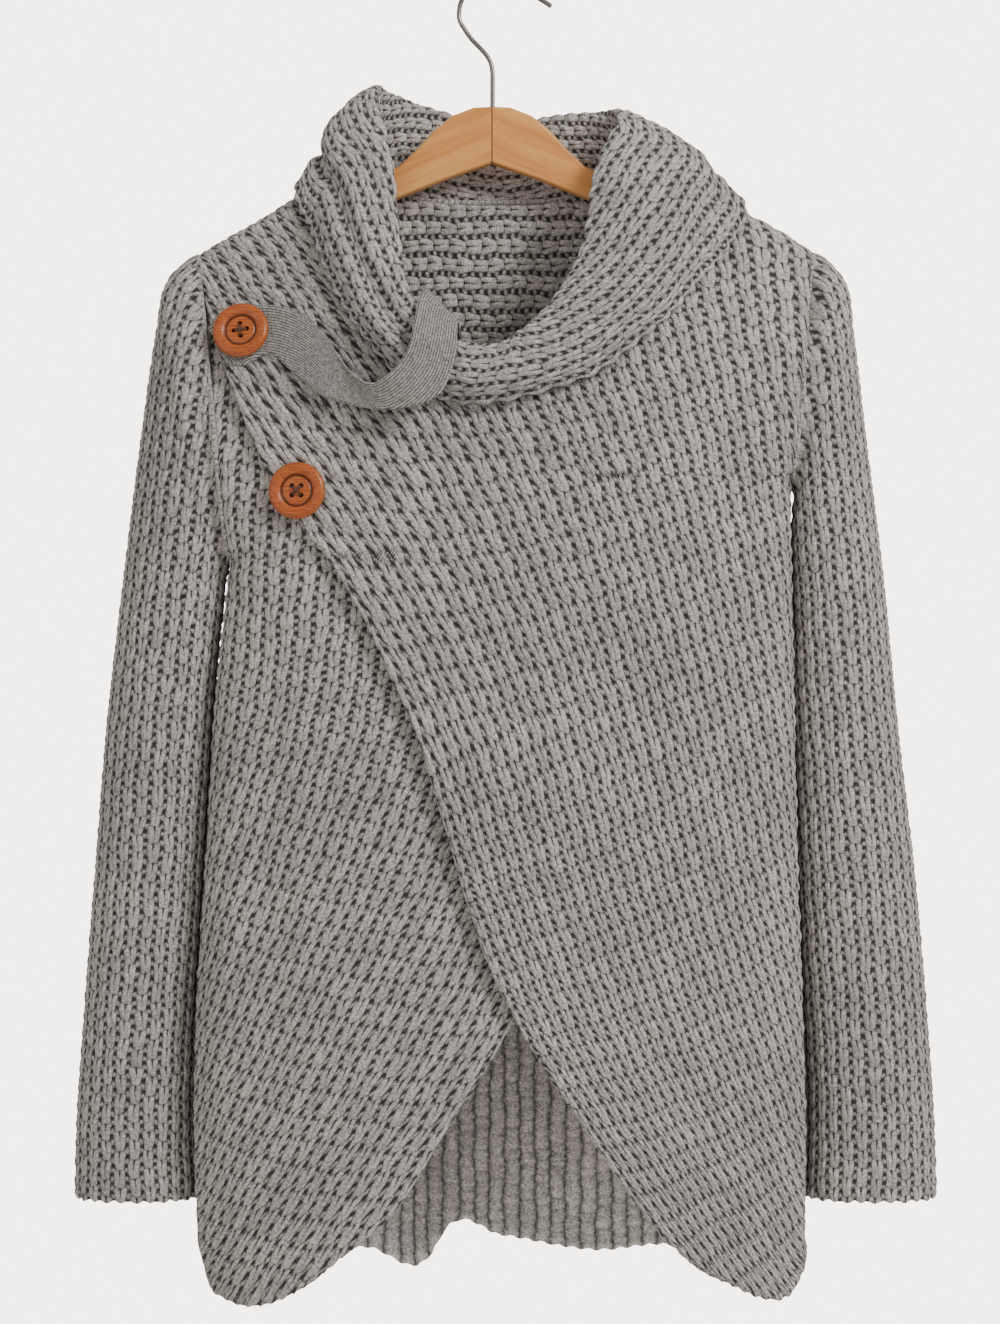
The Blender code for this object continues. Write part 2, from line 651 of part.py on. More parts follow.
def make_button(name, place, stack, material, parts, cutters):
    """A turned wooden button with a dished middle and four holes."""
    seat, normal = button_seat(*place, stack)
    profile = bpy.data.meshes.new(name)
    points = [(radius * MM, 0, height * MM) for radius, height in BUTTON_PROFILE]
    profile.from_pydata(points, [(k, k + 1) for k in range(len(points) - 1)], [])
    profile.materials.append(material)
    button = bpy.data.objects.new(name, profile)
    parts.objects.link(button)
    turned = button.modifiers.new("turned", "SCREW")
    turned.steps = turned.render_steps = 18
    turned.use_merge_vertices = True
    turned.merge_threshold = 0.00005
    turned.use_smooth_shade = True
    bpy.context.view_layer.update()
    solid = bpy.data.meshes.new_from_object(button.evaluated_get(bpy.context.evaluated_depsgraph_get()))
    button.modifiers.clear()
    work = bmesh.new()
    work.from_mesh(solid)
    bmesh.ops.remove_doubles(work, verts=work.verts, dist=0.00005)
    bmesh.ops.recalc_face_normals(work, faces=work.faces)
    work.to_mesh(solid)
    work.free()
    button.data = solid
    aim = Vector(normal).to_track_quat("Z", "Y").to_matrix().to_4x4()
    button.matrix_world = Matrix.Translation(Vector(seat) * MM) @ aim
    for k in range(4):
        turn = math.radians(HOLE_TURN + 90 * k)
        drill = bpy.data.meshes.new(f"{name}_drill_{k}")
        work = bmesh.new()
        bmesh.ops.create_cone(work, cap_ends=True, segments=10, radius1=HOLE_RADIUS * MM,
                              radius2=HOLE_RADIUS * MM, depth=DRILL_LENGTH * MM)
        work.to_mesh(drill)
        work.free()
        cutter = bpy.data.objects.new(drill.name, drill)
        cutters.objects.link(cutter)
        cutter.hide_render = True
        cutter.display_type = "WIRE"
        shift = Vector((HOLE_REACH * math.cos(turn), HOLE_REACH * math.sin(turn), 3)) * MM
        cutter.matrix_world = button.matrix_world @ Matrix.Translation(shift)
        hole = button.modifiers.new(f"hole_{k}", "BOOLEAN")
        hole.operation = "DIFFERENCE"
        hole.object = cutter
    return button


# Hanger and hook
def hanger_outline():
    """Closed outline of the wooden hanger, right half and its mirror."""
    tip = HANGER_HALF
    top_end = HANGER_TOP[-1][1] - ARM_TOP_SLOPE * (tip - 8 - HANGER_TOP[-1][0])
    low_end = HANGER_BOTTOM[-1][1] - ARM_BOTTOM_SLOPE * (tip - 8 - HANGER_BOTTOM[-1][0])
    right = list(HANGER_TOP)
    right.append((tip - 8, top_end))
    middle = (top_end + low_end) / 2
    right += [(tip - 2, top_end - 3.5), (tip, middle - 1), (tip - 2, low_end + 1)]
    right.append((tip - 8, low_end))
    right += list(HANGER_BOTTOM[::-1])
    left = [(-x, z) for x, z in right[::-1] if x > 0]
    return right + left


def make_hanger(name, material, parts, cutters):
    outline = hanger_outline()
    mesh = bpy.data.meshes.new(name)
    work = bmesh.new()
    half = HANGER_THICKNESS / 2
    corners = [work.verts.new((x * MM, half * MM, z * MM)) for x, z in outline]
    face = work.faces.new(corners)
    grown = bmesh.ops.extrude_face_region(work, geom=[face])
    moved = [item for item in grown["geom"] if isinstance(item, bmesh.types.BMVert)]
    bmesh.ops.translate(work, verts=moved, vec=(0, -HANGER_THICKNESS * MM, 0))
    bmesh.ops.recalc_face_normals(work, faces=work.faces)
    work.to_mesh(mesh)
    work.free()
    mesh.materials.append(material)
    hanger = bpy.data.objects.new(name, mesh)
    parts.objects.link(hanger)
    rounding = hanger.modifiers.new("rounding", "BEVEL")
    rounding.width = HANGER_ROUNDING * MM
    rounding.segments = 2
    rounding.limit_method = "ANGLE"
    rounding.angle_limit = math.radians(50)
    bore = bpy.data.meshes.new("stem_bore")
    work = bmesh.new()
    bmesh.ops.create_cone(work, cap_ends=True, segments=16, radius1=(WIRE_RADIUS + SEAM_GAP) * MM,
                          radius2=(WIRE_RADIUS + SEAM_GAP) * MM, depth=2 * (STEM_DEPTH + 1) * MM)
    work.to_mesh(bore)
    work.free()
    cutter = bpy.data.objects.new("stem_bore", bore)
    cutter.location = (STEM_X * MM, 0, HANGER_TOP[0][1] * MM)
    cutters.objects.link(cutter)
    cutter.hide_render = True
    cutter.display_type = "WIRE"
    hole = hanger.modifiers.new("stem_hole", "BOOLEAN")
    hole.operation = "DIFFERENCE"
    hole.object = cutter
    return hanger


def hook_route():
    """Wire from the loose tip over the hook's arc and down the stem."""
    route = [(38.6, -15.2), (30.0, -9.6), (21.5, -5.2)]
    for degrees in range(55, 181, 14):
        turn = math.radians(degrees)
        route.append((HOOK_RADIUS * math.cos(turn), HOOK_CENTRE_Z + HOOK_RADIUS * math.sin(turn)))
    route += [(-21.4, -23.5), (-18.2, -29.5), (-13.0, -37.0), (-6.5, -43.5), (-1.6, -50.0), (STEM_X, -57.0)]
    route += [(STEM_X, -70.0), (STEM_X, HANGER_TOP[0][1] - STEM_DEPTH)]
    return route


def make_hook(name, material, collection):
    curve = bpy.data.curves.new(name, "CURVE")
    curve.dimensions = "3D"
    curve.bevel_depth = WIRE_RADIUS * MM
    curve.bevel_resolution = 2
    curve.use_fill_caps = True
    spline = curve.splines.new("POLY")
    route = hook_route()
    spline.points.add(len(route) - 1)
    for point, (x, z) in zip(spline.points, route):
        point.co = (x * MM, 0, z * MM, 1)
    curve.materials.append(material)
    obj = bpy.data.objects.new(name, curve)
    collection.objects.link(obj)
    return obj


def main():
    for obj in list(bpy.data.objects):
        bpy.data.objects.remove(obj, do_unlink=True)
    parts = bpy.data.collections.new("cowl_neck_sweater")
    cutters = bpy.data.collections.new("cutters")
    for collection in (parts, cutters):
        bpy.context.scene.collection.children.link(collection)
    knit = make_material("grey_rib_knit", (0.42, 0.40, 0.385), 0.95)
    jersey = make_material("grey_jersey", (0.45, 0.43, 0.41), 0.9)
    button_wood = make_material("brown_button_wood", (0.42, 0.16, 0.05), 0.35)
    beech = make_material("beech", (0.62, 0.33, 0.12), 0.4)
    steel = make_material("bright_steel", (0.7, 0.7, 0.72), 0.25, 1.0)

    make_panel("back_panel", -1, NECK_BACK, BACK_HEM, BACK_COLS, BACK_ROWS, False, knit, parts)
    make_panel("front_over", 1, NECK_FRONT, OVER_EDGE, FRONT_COLS, FRONT_ROWS, False, knit, parts)
    make_panel("front_under", 1, NECK_FRONT, UNDER_EDGE, FRONT_COLS, FRONT_ROWS, True, knit, parts)
    make_sleeve("sleeve_left", -1, SLEEVE_LEFT, knit, parts)
    make_sleeve("sleeve_right", 1, SLEEVE_RIGHT, knit, parts)
    make_collar("collar", knit, parts)
    make_strap("strap", jersey, parts)
    for name, stack in BUTTON_STACKS.items():
        make_button(name, BUTTON_PLACES[name], stack, button_wood, parts, cutters)
    make_hanger("hanger", beech, parts, cutters)
    make_hook("hook", steel, parts)


main()
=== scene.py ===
"""Looks of a cowl neck wrap sweater on its wooden hanger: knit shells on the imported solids' form.

Tables are in millimetres, as in the part's own source, and finish_mesh() turns them into metres.
+X is the viewer's right, +Z is up, the front faces -Y and the origin is inside the top of the hook.
"""
import math

import bmesh
import bpy
import numpy as np
from mathutils import Matrix, Vector


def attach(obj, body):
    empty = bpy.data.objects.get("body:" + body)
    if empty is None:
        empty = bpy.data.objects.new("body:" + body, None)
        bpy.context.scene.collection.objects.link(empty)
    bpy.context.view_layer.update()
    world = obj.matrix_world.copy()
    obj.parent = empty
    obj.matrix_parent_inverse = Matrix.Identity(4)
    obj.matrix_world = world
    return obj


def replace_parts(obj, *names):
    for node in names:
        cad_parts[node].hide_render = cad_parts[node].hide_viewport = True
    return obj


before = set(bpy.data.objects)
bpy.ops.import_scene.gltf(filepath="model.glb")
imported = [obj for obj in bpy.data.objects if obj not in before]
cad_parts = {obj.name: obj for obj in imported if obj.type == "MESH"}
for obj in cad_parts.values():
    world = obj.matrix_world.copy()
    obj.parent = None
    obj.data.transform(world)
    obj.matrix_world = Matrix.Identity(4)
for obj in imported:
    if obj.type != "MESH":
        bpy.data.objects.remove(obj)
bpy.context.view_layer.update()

MM = 0.001
UP = np.array([0, 0, 1.0])
TUBE_SIDE = np.array([0.13, 0.97, 0.2])    # no yarn or wire runs this way

# Cloth
WALL = 2.5             # thickness of the knit wall without its relief
SEAM_GAP = 0.35        # space between two pieces at a seam
SEAM_YARN = 2.0        # radius of the rolled seams
SEAM_SINK = 1.6        # how far an armhole's is sunk into its valley
LAYER_SPACE = 5.6      # from the over panel's face to the under panel's face
UNDER_DROP = 14.0      # how far the under panel's top edge lies below the ridge
UNDER_LEAD = 32.0      # where the under panel starts to go inward, before the over panel's edge
UNDER_RUN = 26.0       # width over which it gets there
STRAP_WALL = 1.5       # thickness of the fine jersey strap
STRAP_FOLD = 0.35      # how much thicker it is along its folded edges
STRAP_RIM = 0.5        # how far its rims fall away
SEAM_LAP = 2.0         # how far the collar's seam laps over the neckline
SEAM_LIFT = 1.0        # how far the collar's seam lies off the body there
RIDGE_LIFT = 2.0       # how much further off the collar's edges lie on the shoulder ridge
FALL_SPACE = 3.0       # from the body to the inside of the collar's free edge
ROLL_ROUNDING = 90     # passes that round off the collar's roll
PIT_ROWS = {-1: 0.41, 1: 0.33}    # share of a panel's rows that lie above the armpit
NECK_CENTRE = (4.0, -160.0)       # x and z that the neckline runs round

# Knit
WALE = 10.2            # width of one rib of stitches
COURSE = 12.0          # height of one stitch; those of the next rib lie half a stitch lower
TURN_SHARE = 0.7       # how much of a sleeve's depth adds to the way round it
SLEEVE_ROUNDNESS = 2.4 # exponent of a sleeve's section
SLEEVE_CLOSE = {-1: 3.3, 1: 5.2}    # how much nearer to the body than the solid a sleeve hangs
SLEEVE_CLOSE_RUN = 40.0             # height below the armpit over which it gets there
UNEVEN = 0.045         # how far stitches wander off their lines, in stitches
RELIEF = 1.9           # height of a rib over the bottom of the groove beside it
SUNK = 0.8             # how much of that height lies below the solid's face
OVAL = 0.32            # half of how much a rib swells at each stitch, as a share of its height
OVAL_SHIFT = 0.08      # how far the swelling lies from the stitch's middle, in stitches
PLAIN_HEIGHT = 0.92    # height of a rib that doesn't swell
BRIDGE = 0.5           # height of the yarn that bridges the groove between two ribs
INSIDE_TURN = -330.0   # above this the inside of the back shows courses across, below it plain ribs
EDGE_PITCH = 8.0       # from one bead of a slanting edge to the next
EDGE_WIDTH = 6.0       # width over which a finished edge is thicker
EDGE_BEAD = 0.5        # how much thicker it is
EDGE_SCALLOP = 0.9     # how far its beads stand out
EDGE_REACH = 5.0       # how far into the cloth they are felt
EDGE_LIFT = 2.4        # how far the wrap edge stands off the panel beneath it, below the buttons
EDGE_LIFT_WIDTH = 13.0 # how far into the panel it is felt
EDGE_LIFT_TOP = -362.0 # height where the lift starts
EDGE_LIFT_RUN = 50.0   # height over which it is reached
RIM_FALL = 1.0         # how much a wall thins out at its edge
RIM_WIDTH = 2.5        # width over which it does
INSIDE_RELIEF = 0.75   # share of the outer relief that the inside of the back has
UNDER_START = -190.0   # x where the courses of the under panel are counted from
OVER_START = 200.0     # the same for the over panel

# Grids: cells across, cells along; the inside has one cell for COARSE of them
COARSE = 4
OVER_GRID = (216, 380)
UNDER_GRID = (200, 320)
BACK_GRID = (180, 268)
SLEEVE_GRID = (160, 312)
COLLAR_GRID = (448, 112)
STRAP_GRID = (136, 24)

# Body form
CENTRE_X = 8.0         # middle line of the hanging body
ROUNDNESS = 2.6        # exponent of the body's horizontal section
RIDGE_RADIUS = 13.0    # roundness of the cloth over the hanger
BEAD_POWER = 0.35      # how that roundness thins out towards the sides
SHOULDER_DROP = 95.0   # height over which the depth grows from the ridge
ARMHOLE_INSET = 0.14   # how much of the half width the armhole cuts away
ARMHOLE_RISE = 70.0    # height over which the armhole opens above the armpit
ARMHOLE_POWER = 0.8    # exponent of that opening
ROW_CROWDING = 1.35    # how much closer a panel's rows stand at the shoulders, as an exponent
SIDE_CROWDING = 0.15   # how much closer a panel's columns stand at its sides

# Top line of the shoulders, seen from the front: x, z
RIDGE = (
    (-215, -192), (-190, -177), (-175, -168), (-150, -154), (-125, -138.5),
    (-88, -122), (-40, -108), (0, -104), (45, -106), (92, -118),
    (125, -132), (165, -150), (194, -166), (208, -175.5), (232, -190),
)

# Depth of the body in front of and behind the hanger: z, front, back
DEPTH = (
    (-100, 20, 19), (-190, 24, 21), (-250, 38, 27), (-330, 50, 31), (-450, 58, 35),
    (-600, 62, 38), (-750, 64, 42), (-862, 62, 44),
)

# Side seams below the armpits: z, left x, right x
SIDES = (
    (-320, -163, 193), (-375, -169, 193.7), (-466, -178.8, 195.7), (-563, -184.6, 198),
    (-661, -191, 201.5), (-758, -192.4, 204), (-823, -189, 202), (-862, -184, 200),
)

# Armholes lie in a plane each: x and z at the shoulder, x and z at the armpit
ARMHOLE = {
    -1: (-190.0, -177.0, -169.0, -375.0),
    1: (208.0, -175.5, 193.2, -323.0),
}

# Neck seam on the front and on the back: x, z
NECK_FRONT = (
    (-88, -122), (-80, -150), (-70, -185), (-57, -219), (-36, -247), (-2, -261),
    (30, -249), (52, -224), (68, -188), (82, -150), (92, -118),
)
NECK_BACK = ((-88, -122), (-70, -133), (-40, -140), (2, -142), (46, -139), (74, -130), (92, -118))

# Lower edge of the over panel, from the left shoulder down to the right hem: x, z
OVER_EDGE = (
    (-188, -196), (-181, -223), (-163, -274), (-139, -329), (-99, -383), (-80, -415),
    (-63, -452), (-46, -490), (-33, -534), (-20, -578), (-6, -622), (11, -659),
    (33, -697), (58, -734), (83, -772), (108, -803), (127, -821), (152, -835),
    (174, -845), (190, -843), (199.5, -828),
)

# Lower edge of the under panel, from the left hem up to the right shoulder: x, z
UNDER_EDGE = (
    (-189, -815), (-182, -838), (-170, -847), (-149, -849), (-121, -837), (-93, -815),
    (-77, -802), (-58, -783), (-33, -742), (-8, -704), (11, -673), (35, -635),
    (60, -588), (85, -530), (110, -460), (135, -400), (160, -335), (182, -260), (205.7, -198),
)

# Hem of the back panel: x, z
BACK_HEM = (
    (-188, -832), (-150, -840), (-84, -830), (-41, -836), (-30, -817), (5, -822),
    (72, -832), (115, -828), (160, -838), (202, -832),
)

# Soft folds: x and z of the upper end, x and z of the lower end, half width, depth inward
FRONT_FOLDS = (
    (150, -250, 168, -620, 20, 6.0),
    (96, -672, 140, -742, 13, 5.0),
    (-150, -420, -140, -700, 18, 4.5),
    (40, -330, 100, -560, 26, 3.5),
    (-60, -300, 10, -480, 22, 3.0),
)
BACK_FOLDS = (
    (-22, -600, -24, -860, 15, 5.0),
    (-52, -600, -54, -860, 15, -4.0),
    (-118, -260, -128, -760, 22, 6.0),
    (66, -240, 72, -700, 24, 5.0),
    (140, -320, 150, -820, 18, 6.0),
)

# Sleeve sections: outer x, outer z, inner x, inner z, front depth, back depth, middle y
SLEEVE_LEFT = (
    (-200, -182, -172.2, -383, 29, 23, 0),
    (-211, -195, -175, -393, 31, 24, 0),
    (-218, -228, -177.5, -406, 31, 25, 1),
    (-227, -290, -180.5, -426, 31, 27, 2),
    (-238, -375, -183.5, -462, 31, 28, 4),
    (-250, -478, -186.5, -520, 31, 29, 5),
    (-258, -572, -191, -590, 30, 29, 7),
    (-265.5, -665, -195.3, -668, 30, 30, 9),
    (-271, -745, -197, -745, 29, 29, 10),
    (-272, -789.5, -194, -789.5, 27, 27, 10),
)
SLEEVE_RIGHT = (
    (218, -181, 196.6, -331, 29, 23, 0),
    (229, -195, 198.3, -341, 31, 24, 0),
    (234.5, -228, 199.2, -355, 31, 25, 1),
    (242, -290, 199.8, -378, 31, 27, 2),
    (253, -375, 200.2, -415, 31, 28, 4),
    (264, -485, 201.5, -500, 31, 29, 5),
    (274.5, -572, 204, -580, 30, 29, 7),
    (283, -665, 208, -665, 30, 30, 9),
    (288.5, -745, 210.5, -745, 29, 29, 10),
    (290, -789.5, 209, -789.5, 27, 27, 10),
)

# Collar sections round the neck, from the front over the left shoulder to the back and the right.
# face (1 front, 0 ridge, -1 back), seam x, roll x y z, bulge x y z, edge x, edge z
COLLAR = (
    (1, -2, 0, -50, -238, -4, -62, -262, -5, -279),
    (1, -36, -32, -50, -232, -44, -60, -252, -51, -267),
    (1, -57, -49, -46, -213, -68, -56, -226, -84, -232),
    (1, -70, -57, -38, -176, -83, -48, -186, -104, -198),
    (1, -81, -62, -25, -120, -96, -36, -140, -117, -163),
    (0, -88, -73, 0, -66, -104, -4, -88, -127, -134),
    (-1, -76, -62, 22, -64, -92, 30, -100, -112, -164),
    (-1, -40, -36, 34, -71, -54, 48, -116, -62, -186),
    (-1, 2, 4, 39, -81, 4, 55, -128, 4, -194),
    (-1, 46, 40, 35, -75, 60, 49, -118, 74, -188),
    (-1, 80, 68, 22, -76, 112, 30, -110, 134, -170),
    (0, 92, 82, 0, -83, 128, -3, -104, 163, -146),
    (1, 83, 65, -25, -122, 118, -36, -140, 153, -174),
    (1, 68, 58, -38, -170, 100, -48, -184, 134, -198),
    (1, 52, 43, -46, -202, 76, -57, -217, 104, -230),
    (1, 30, 22, -50, -226, 42, -61, -246, 58, -263),
)

# Strap from its loose end, under the upper button and over the collar into the neck:
# upper x, upper z, lower x, lower z, lift off the body's front
STRAP = (
    (-182.5, -226.5, -166.7, -251.7, 0.9),
    (-170.5, -216.4, -154.7, -251.7, 0.9),
    (-157.2, -212.6, -147.7, -246.0, 0.9),
    (-145.2, -212.6, -140.0, -245.0, 1.6),
    (-133.8, -214.5, -131.3, -253.0, 3.5),
    (-121.2, -220.2, -119.3, -264.0, 6.0),
    (-107.9, -230.9, -107.9, -273.0, 9.0),
    (-98.4, -245.4, -92.8, -278.3, 11.0),
    (-89.6, -258.1, -80.1, -281.5, 14.0),
    (-77.6, -266.4, -66.5, -283.2, 20.0),
    (-67.5, -263.0, -47.9, -281.0, 25.5),
    (-58.6, -254.2, -33.7, -274.6, 27.0),
    (-52.0, -242.9, -26.8, -263.8, 27.5),
    (-48.9, -227.6, -22.4, -246.4, 26.0),
    (-45.0, -208.0, -21.3, -229.0, 17.0),
    (-40.0, -204.0, -20.0, -226.0, 6.0),
    (-37.0, -214.0, -19.0, -236.0, -2.0),
)

# Buttons
BUTTON_FOOT = 15.5     # radius of the button's flat back
# Name, x and z of the middle, space for what lies under the button, angle of its first hole
BUTTONS = (
    ("button_upper", (-159.5, -231.0), 2.9, 8.0),
    ("button_lower", (-123.0, -333.0), 0.2, 45.0),
)
BUTTON_STEPS = 96      # points round a button
HOLE_RADIUS = 1.6
HOLE_REACH = 4.2       # from the middle to a hole's middle
DRILL_LENGTH = 20.0
THREAD_RADIUS = 0.42
THREAD_STEP = 0.45     # from one strand to the next
THREAD_HEIGHT = 4.75   # where the lower strands lie over the button's back
# Radius and height over the flat back, from the middle of the face round the rim
BUTTON_PROFILE = (
    (0.02, 4.2), (8.6, 4.2), (9.4, 3.4), (10.2, 3.4), (10.9, 4.9), (14.5, 6.2),
    (17.0, 5.6), (18.3, 3.6), (17.8, 1.4), (15.5, 0.2), (0.02, 0.0),
)

# Hanger and hook
HANGER_HALF = 190.0
HANGER_THICKNESS = 10.5
HANGER_ROUNDING = 3.2
HANGER_TIP = 8.0       # length of each rounded tip
HANGER_TOP = ((0, -81), (12, -81.6), (26, -87), (38, -97), (48, -108), (60, -119.5))
HANGER_BOTTOM = ((0, -117.6), (30, -128), (60, -140))
ARM_TOP_SLOPE = 0.475
ARM_BOTTOM_SLOPE = 0.40
WIRE_RADIUS = 1.6
STEM_X = 0.3
STEM_DEPTH = 18.0
HOOK_RADIUS = 21.5
HOOK_CENTRE_Z = -19.9
HOOK_TIP = ((38.6, -15.2), (30.0, -9.6), (21.5, -5.2))
HOOK_NECK = (
    (-21.4, -23.5), (-18.2, -29.5), (-13.0, -37.0), (-6.5, -43.5), (-1.6, -50.0),
    (STEM_X, -57.0), (STEM_X, -70.0),
)

# Place of every eighth rib of the two fronts: z, then x of one rib after the other
OVER_WALES = (
    (-100, -280, -165, -40, 84, 196), (-180, -225, -118, -8, 100, 202), (-280, -162, -60, 36, 124, 208),
    (-480, -50, 26, 99, 170, 240), (-596, -12, 58, 127, 193, 259), (-690, 26, 92, 157, 220, 283),
    (-790, 90, 144, 200, 256, 312), (-860, 140, 186, 238, 290, 342),
)
UNDER_WALES = (
    (-180, -190, -102, -14, 74, 162), (-300, -190, -102, -14, 74, 162), (-380, -193, -106, -18, 70, 158),
    (-466, -200, -115, -28, 60, 148), (-560, -222, -143, -60, 25, 112), (-661, -252, -180, -105, -24, 60),
    (-760, -290, -222, -153, -77, 5), (-850, -330, -265, -200, -128, -48),
)
WALE_STEP = 8          # ribs from one line of these tables to the next

# Long folds of the collar: turn round the neck where one starts and ends, distance from the free
# edge, half width, depth
COLLAR_FOLDS = (
    (0.02, 0.37, 30.0, 7.0, 8.0),
    (0.66, 0.93, 27.0, 6.0, 2.5),
)
COLLAR_FOLD_RUN = 0.05 # share of a turn over which one grows and fades

# Strap looks
JERSEY_WALE = 1.9      # width of one stitch
JERSEY_COURSE = 1.6    # height of one

# Setting, in metres
FLOOR_Z = -1.3
WORLD_COLOUR = (0.96, 0.90, 0.835)
WORLD_LIGHT = 0.6      # what the pale room sheds on the object
WALL_LIGHT = 5.6       # how bright its wall looks
LAMP_AIM = (0.0, 0.0, -0.45)
LAMPS = (
    ("key", (1.35, -1.25, 0.75), 0.8, 33.0, (1.0, 0.985, 0.965)),
    ("fill", (-1.8, -1.7, 0.1), 1.6, 5.0, (0.96, 0.98, 1.0)),
    ("rim", (-0.6, 1.6, 0.8), 1.4, 10.0, (1.0, 1.0, 1.0)),
)
SENSOR = 36.0
CAMERA_DISTANCE = 1.8
PICTURE_HEIGHT = 0.8606    # height that the picture takes in at the hanger
PICTURE_CENTRE = (0.0052, -0.44135)    # x and z


# Shared mathematics
def column(table, index):
    """One column of a table as an array."""
    return np.array([row[index] for row in table], dtype=float)


def between_points(t, width, start, end, start_slope, end_slope):
    """Smooth curve over one step from start to end, with a slope at each."""
    near = (1 + 2 * t) * (1 - t) ** 2 * start + t * (1 - t) ** 2 * width * start_slope
    return near + t * t * (3 - 2 * t) * end + t * t * (t - 1) * width * end_slope


def smooth(keys, values, at):
    """A smooth curve through values at increasing or decreasing keys, flat beyond its ends."""
    slopes = np.gradient(values, keys, axis=0)
    if keys[-1] < keys[0]:
        keys, values, slopes = keys[::-1], values[::-1], slopes[::-1]
    at = np.clip(np.asarray(at, dtype=float), keys[0], keys[-1])
    cell = np.clip(np.searchsorted(keys, at) - 1, 0, len(keys) - 2)
    shape = at.shape + (1,) * (values.ndim - 1)
    width = (keys[cell + 1] - keys[cell]).reshape(shape)
    t = (at - keys[cell]).reshape(shape) / width
    return between_points(t, width, values[cell], values[cell + 1], slopes[cell], slopes[cell + 1])


def curve(table, at, key=0, value=1):
    """A smooth curve through two columns of a table."""
    return smooth(column(table, key), column(table, value), at)


def ease(t):
    """Goes from 0 to 1 with level ends."""
    t = np.clip(t, 0, 1)
    return t * t * (3 - 2 * t)


def even_turns(count):
    """Angles at even steps round a circle."""
    return np.arange(count) / count * 2 * math.pi


def ridge(x):
    return curve(RIDGE, x)


def armhole_x(z, side):
    """x of the armhole's plane at a height."""
    top_x, top_z, pit_x, pit_z = ARMHOLE[side]
    return top_x + (pit_x - top_x) * (z - top_z) / (pit_z - top_z)


def half_width(z, side):
    """Half width of the body's section; above the armpit it reaches past the armhole."""
    pit_z = ARMHOLE[side][3]
    below = curve(SIDES, np.minimum(z, pit_z), 0, 1 if side < 0 else 2)
    opened = 1 - ARMHOLE_INSET * np.clip((z - pit_z) / ARMHOLE_RISE, 0, 1) ** ARMHOLE_POWER
    above = CENTRE_X + (armhole_x(z, side) - CENTRE_X) / opened
    return np.abs(np.where(z < pit_z, below, above) - CENTRE_X)


def widths(x_or_turn, z):
    """Half width on the side that a point lies on."""
    return np.where(x_or_turn < 0, half_width(z, -1), half_width(z, 1))


def turn_of(x, z):
    """Turn round the body's section, -1 at the left side and 1 at the right one."""
    offset = np.asarray(x, dtype=float) - CENTRE_X
    share = np.clip(np.abs(offset) / widths(offset, z), 0, 1)
    return np.sign(offset) * np.arcsin(share ** (ROUNDNESS / 2)) * 2 / math.pi


def turn_limit(z, turn):
    """Turn at which a panel ends: at the armhole above the armpit and at the side seam below."""
    left, right = (np.where(z > ARMHOLE[side][3], side * turn_of(armhole_x(z, side), z), 1.0)
                   for side in (-1, 1))
    return np.where(turn < 0, left, right)


def place_of(x, z):
    """Place across a panel, from -1 at its left side to 1 at its right side."""
    turn = turn_of(x, z)
    return turn / turn_limit(z, turn)


def x_of(place, z):
    turn = place * turn_limit(z, place)
    share = np.abs(np.sin(turn * math.pi / 2)) ** (2 / ROUNDNESS)
    return CENTRE_X + np.sign(turn) * share * widths(turn, z)


def fold_depth(x, z, folds):
    """How far the soft folds pull the cloth inward at a place."""
    total = np.zeros(np.broadcast(x, z).shape)
    for top_x, top_z, low_x, low_z, half, depth in folds:
        run_x, run_z = low_x - top_x, low_z - top_z
        along = ((x - top_x) * run_x + (z - top_z) * run_z) / (run_x ** 2 + run_z ** 2)
        aside = np.hypot(x - top_x - along * run_x, z - top_z - along * run_z)
        # A fold grows over its first quarter and fades out round its lower end
        ends = ease(along / 0.25) * ease((1.15 - along) / 0.3)
        total += depth * ends * np.exp(-(aside / half) ** 2)
    return total


def body_depth(x, z, face):
    """Distance of the cloth's face from the plane of the hanger; face is 1 in front, -1 behind."""
    offset = x - CENTRE_X
    share = np.clip(np.abs(offset) / widths(offset, z), 0, 1)
    side = (1 - share ** ROUNDNESS) ** (1 / ROUNDNESS)
    drop = np.maximum(ridge(x) - z, 0)
    over = 1 - np.minimum(drop, RIDGE_RADIUS) / RIDGE_RADIUS
    full = curve(DEPTH, z, 0, 1 if face > 0 else 2)
    grown = 1 - (1 - np.clip(drop / SHOULDER_DROP, 0, 1)) ** 2
    folds = fold_depth(x, z, FRONT_FOLDS if face > 0 else BACK_FOLDS) * side
    bead = RIDGE_RADIUS * np.sqrt(1 - over ** 2) * side ** BEAD_POWER
    return bead + (full - RIDGE_RADIUS) * grown * side - folds


def body_point(x, z, face):
    return np.stack(np.broadcast_arrays(x, -face * body_depth(x, z, face), z), axis=-1)


def unit(vectors):
    """Vectors of length 1 in the same directions."""
    return vectors / np.maximum(np.linalg.norm(vectors, axis=-1, keepdims=True), 1e-9)


def body_normal(x, z, face):
    """Outward direction of the body's face."""
    step = 0.5
    across = body_point(x + step, z, face) - body_point(x - step, z, face)
    down = body_point(x, z - step, face) - body_point(x, z + step, face)
    return unit(np.cross(down, across) * face)


def grid_normals(grid, sign, closed):
    """Direction square to a grid of points, from its neighbours."""
    if closed:
        across = np.roll(grid, -1, axis=1) - np.roll(grid, 1, axis=1)
    else:
        across = np.gradient(grid, axis=1)
    return unit(np.cross(np.gradient(grid, axis=0), across) * sign)


# Panels
def spread(u):
    """Even steps drawn closer together towards both sides."""
    return u - SIDE_CROWDING * np.sin(2 * math.pi * u) / (2 * math.pi)


def across_edge(x, z):
    """Place and z along a panel's upper or lower edge."""
    place = place_of(x, z)
    place[0], place[-1] = -1, 1
    return place, z


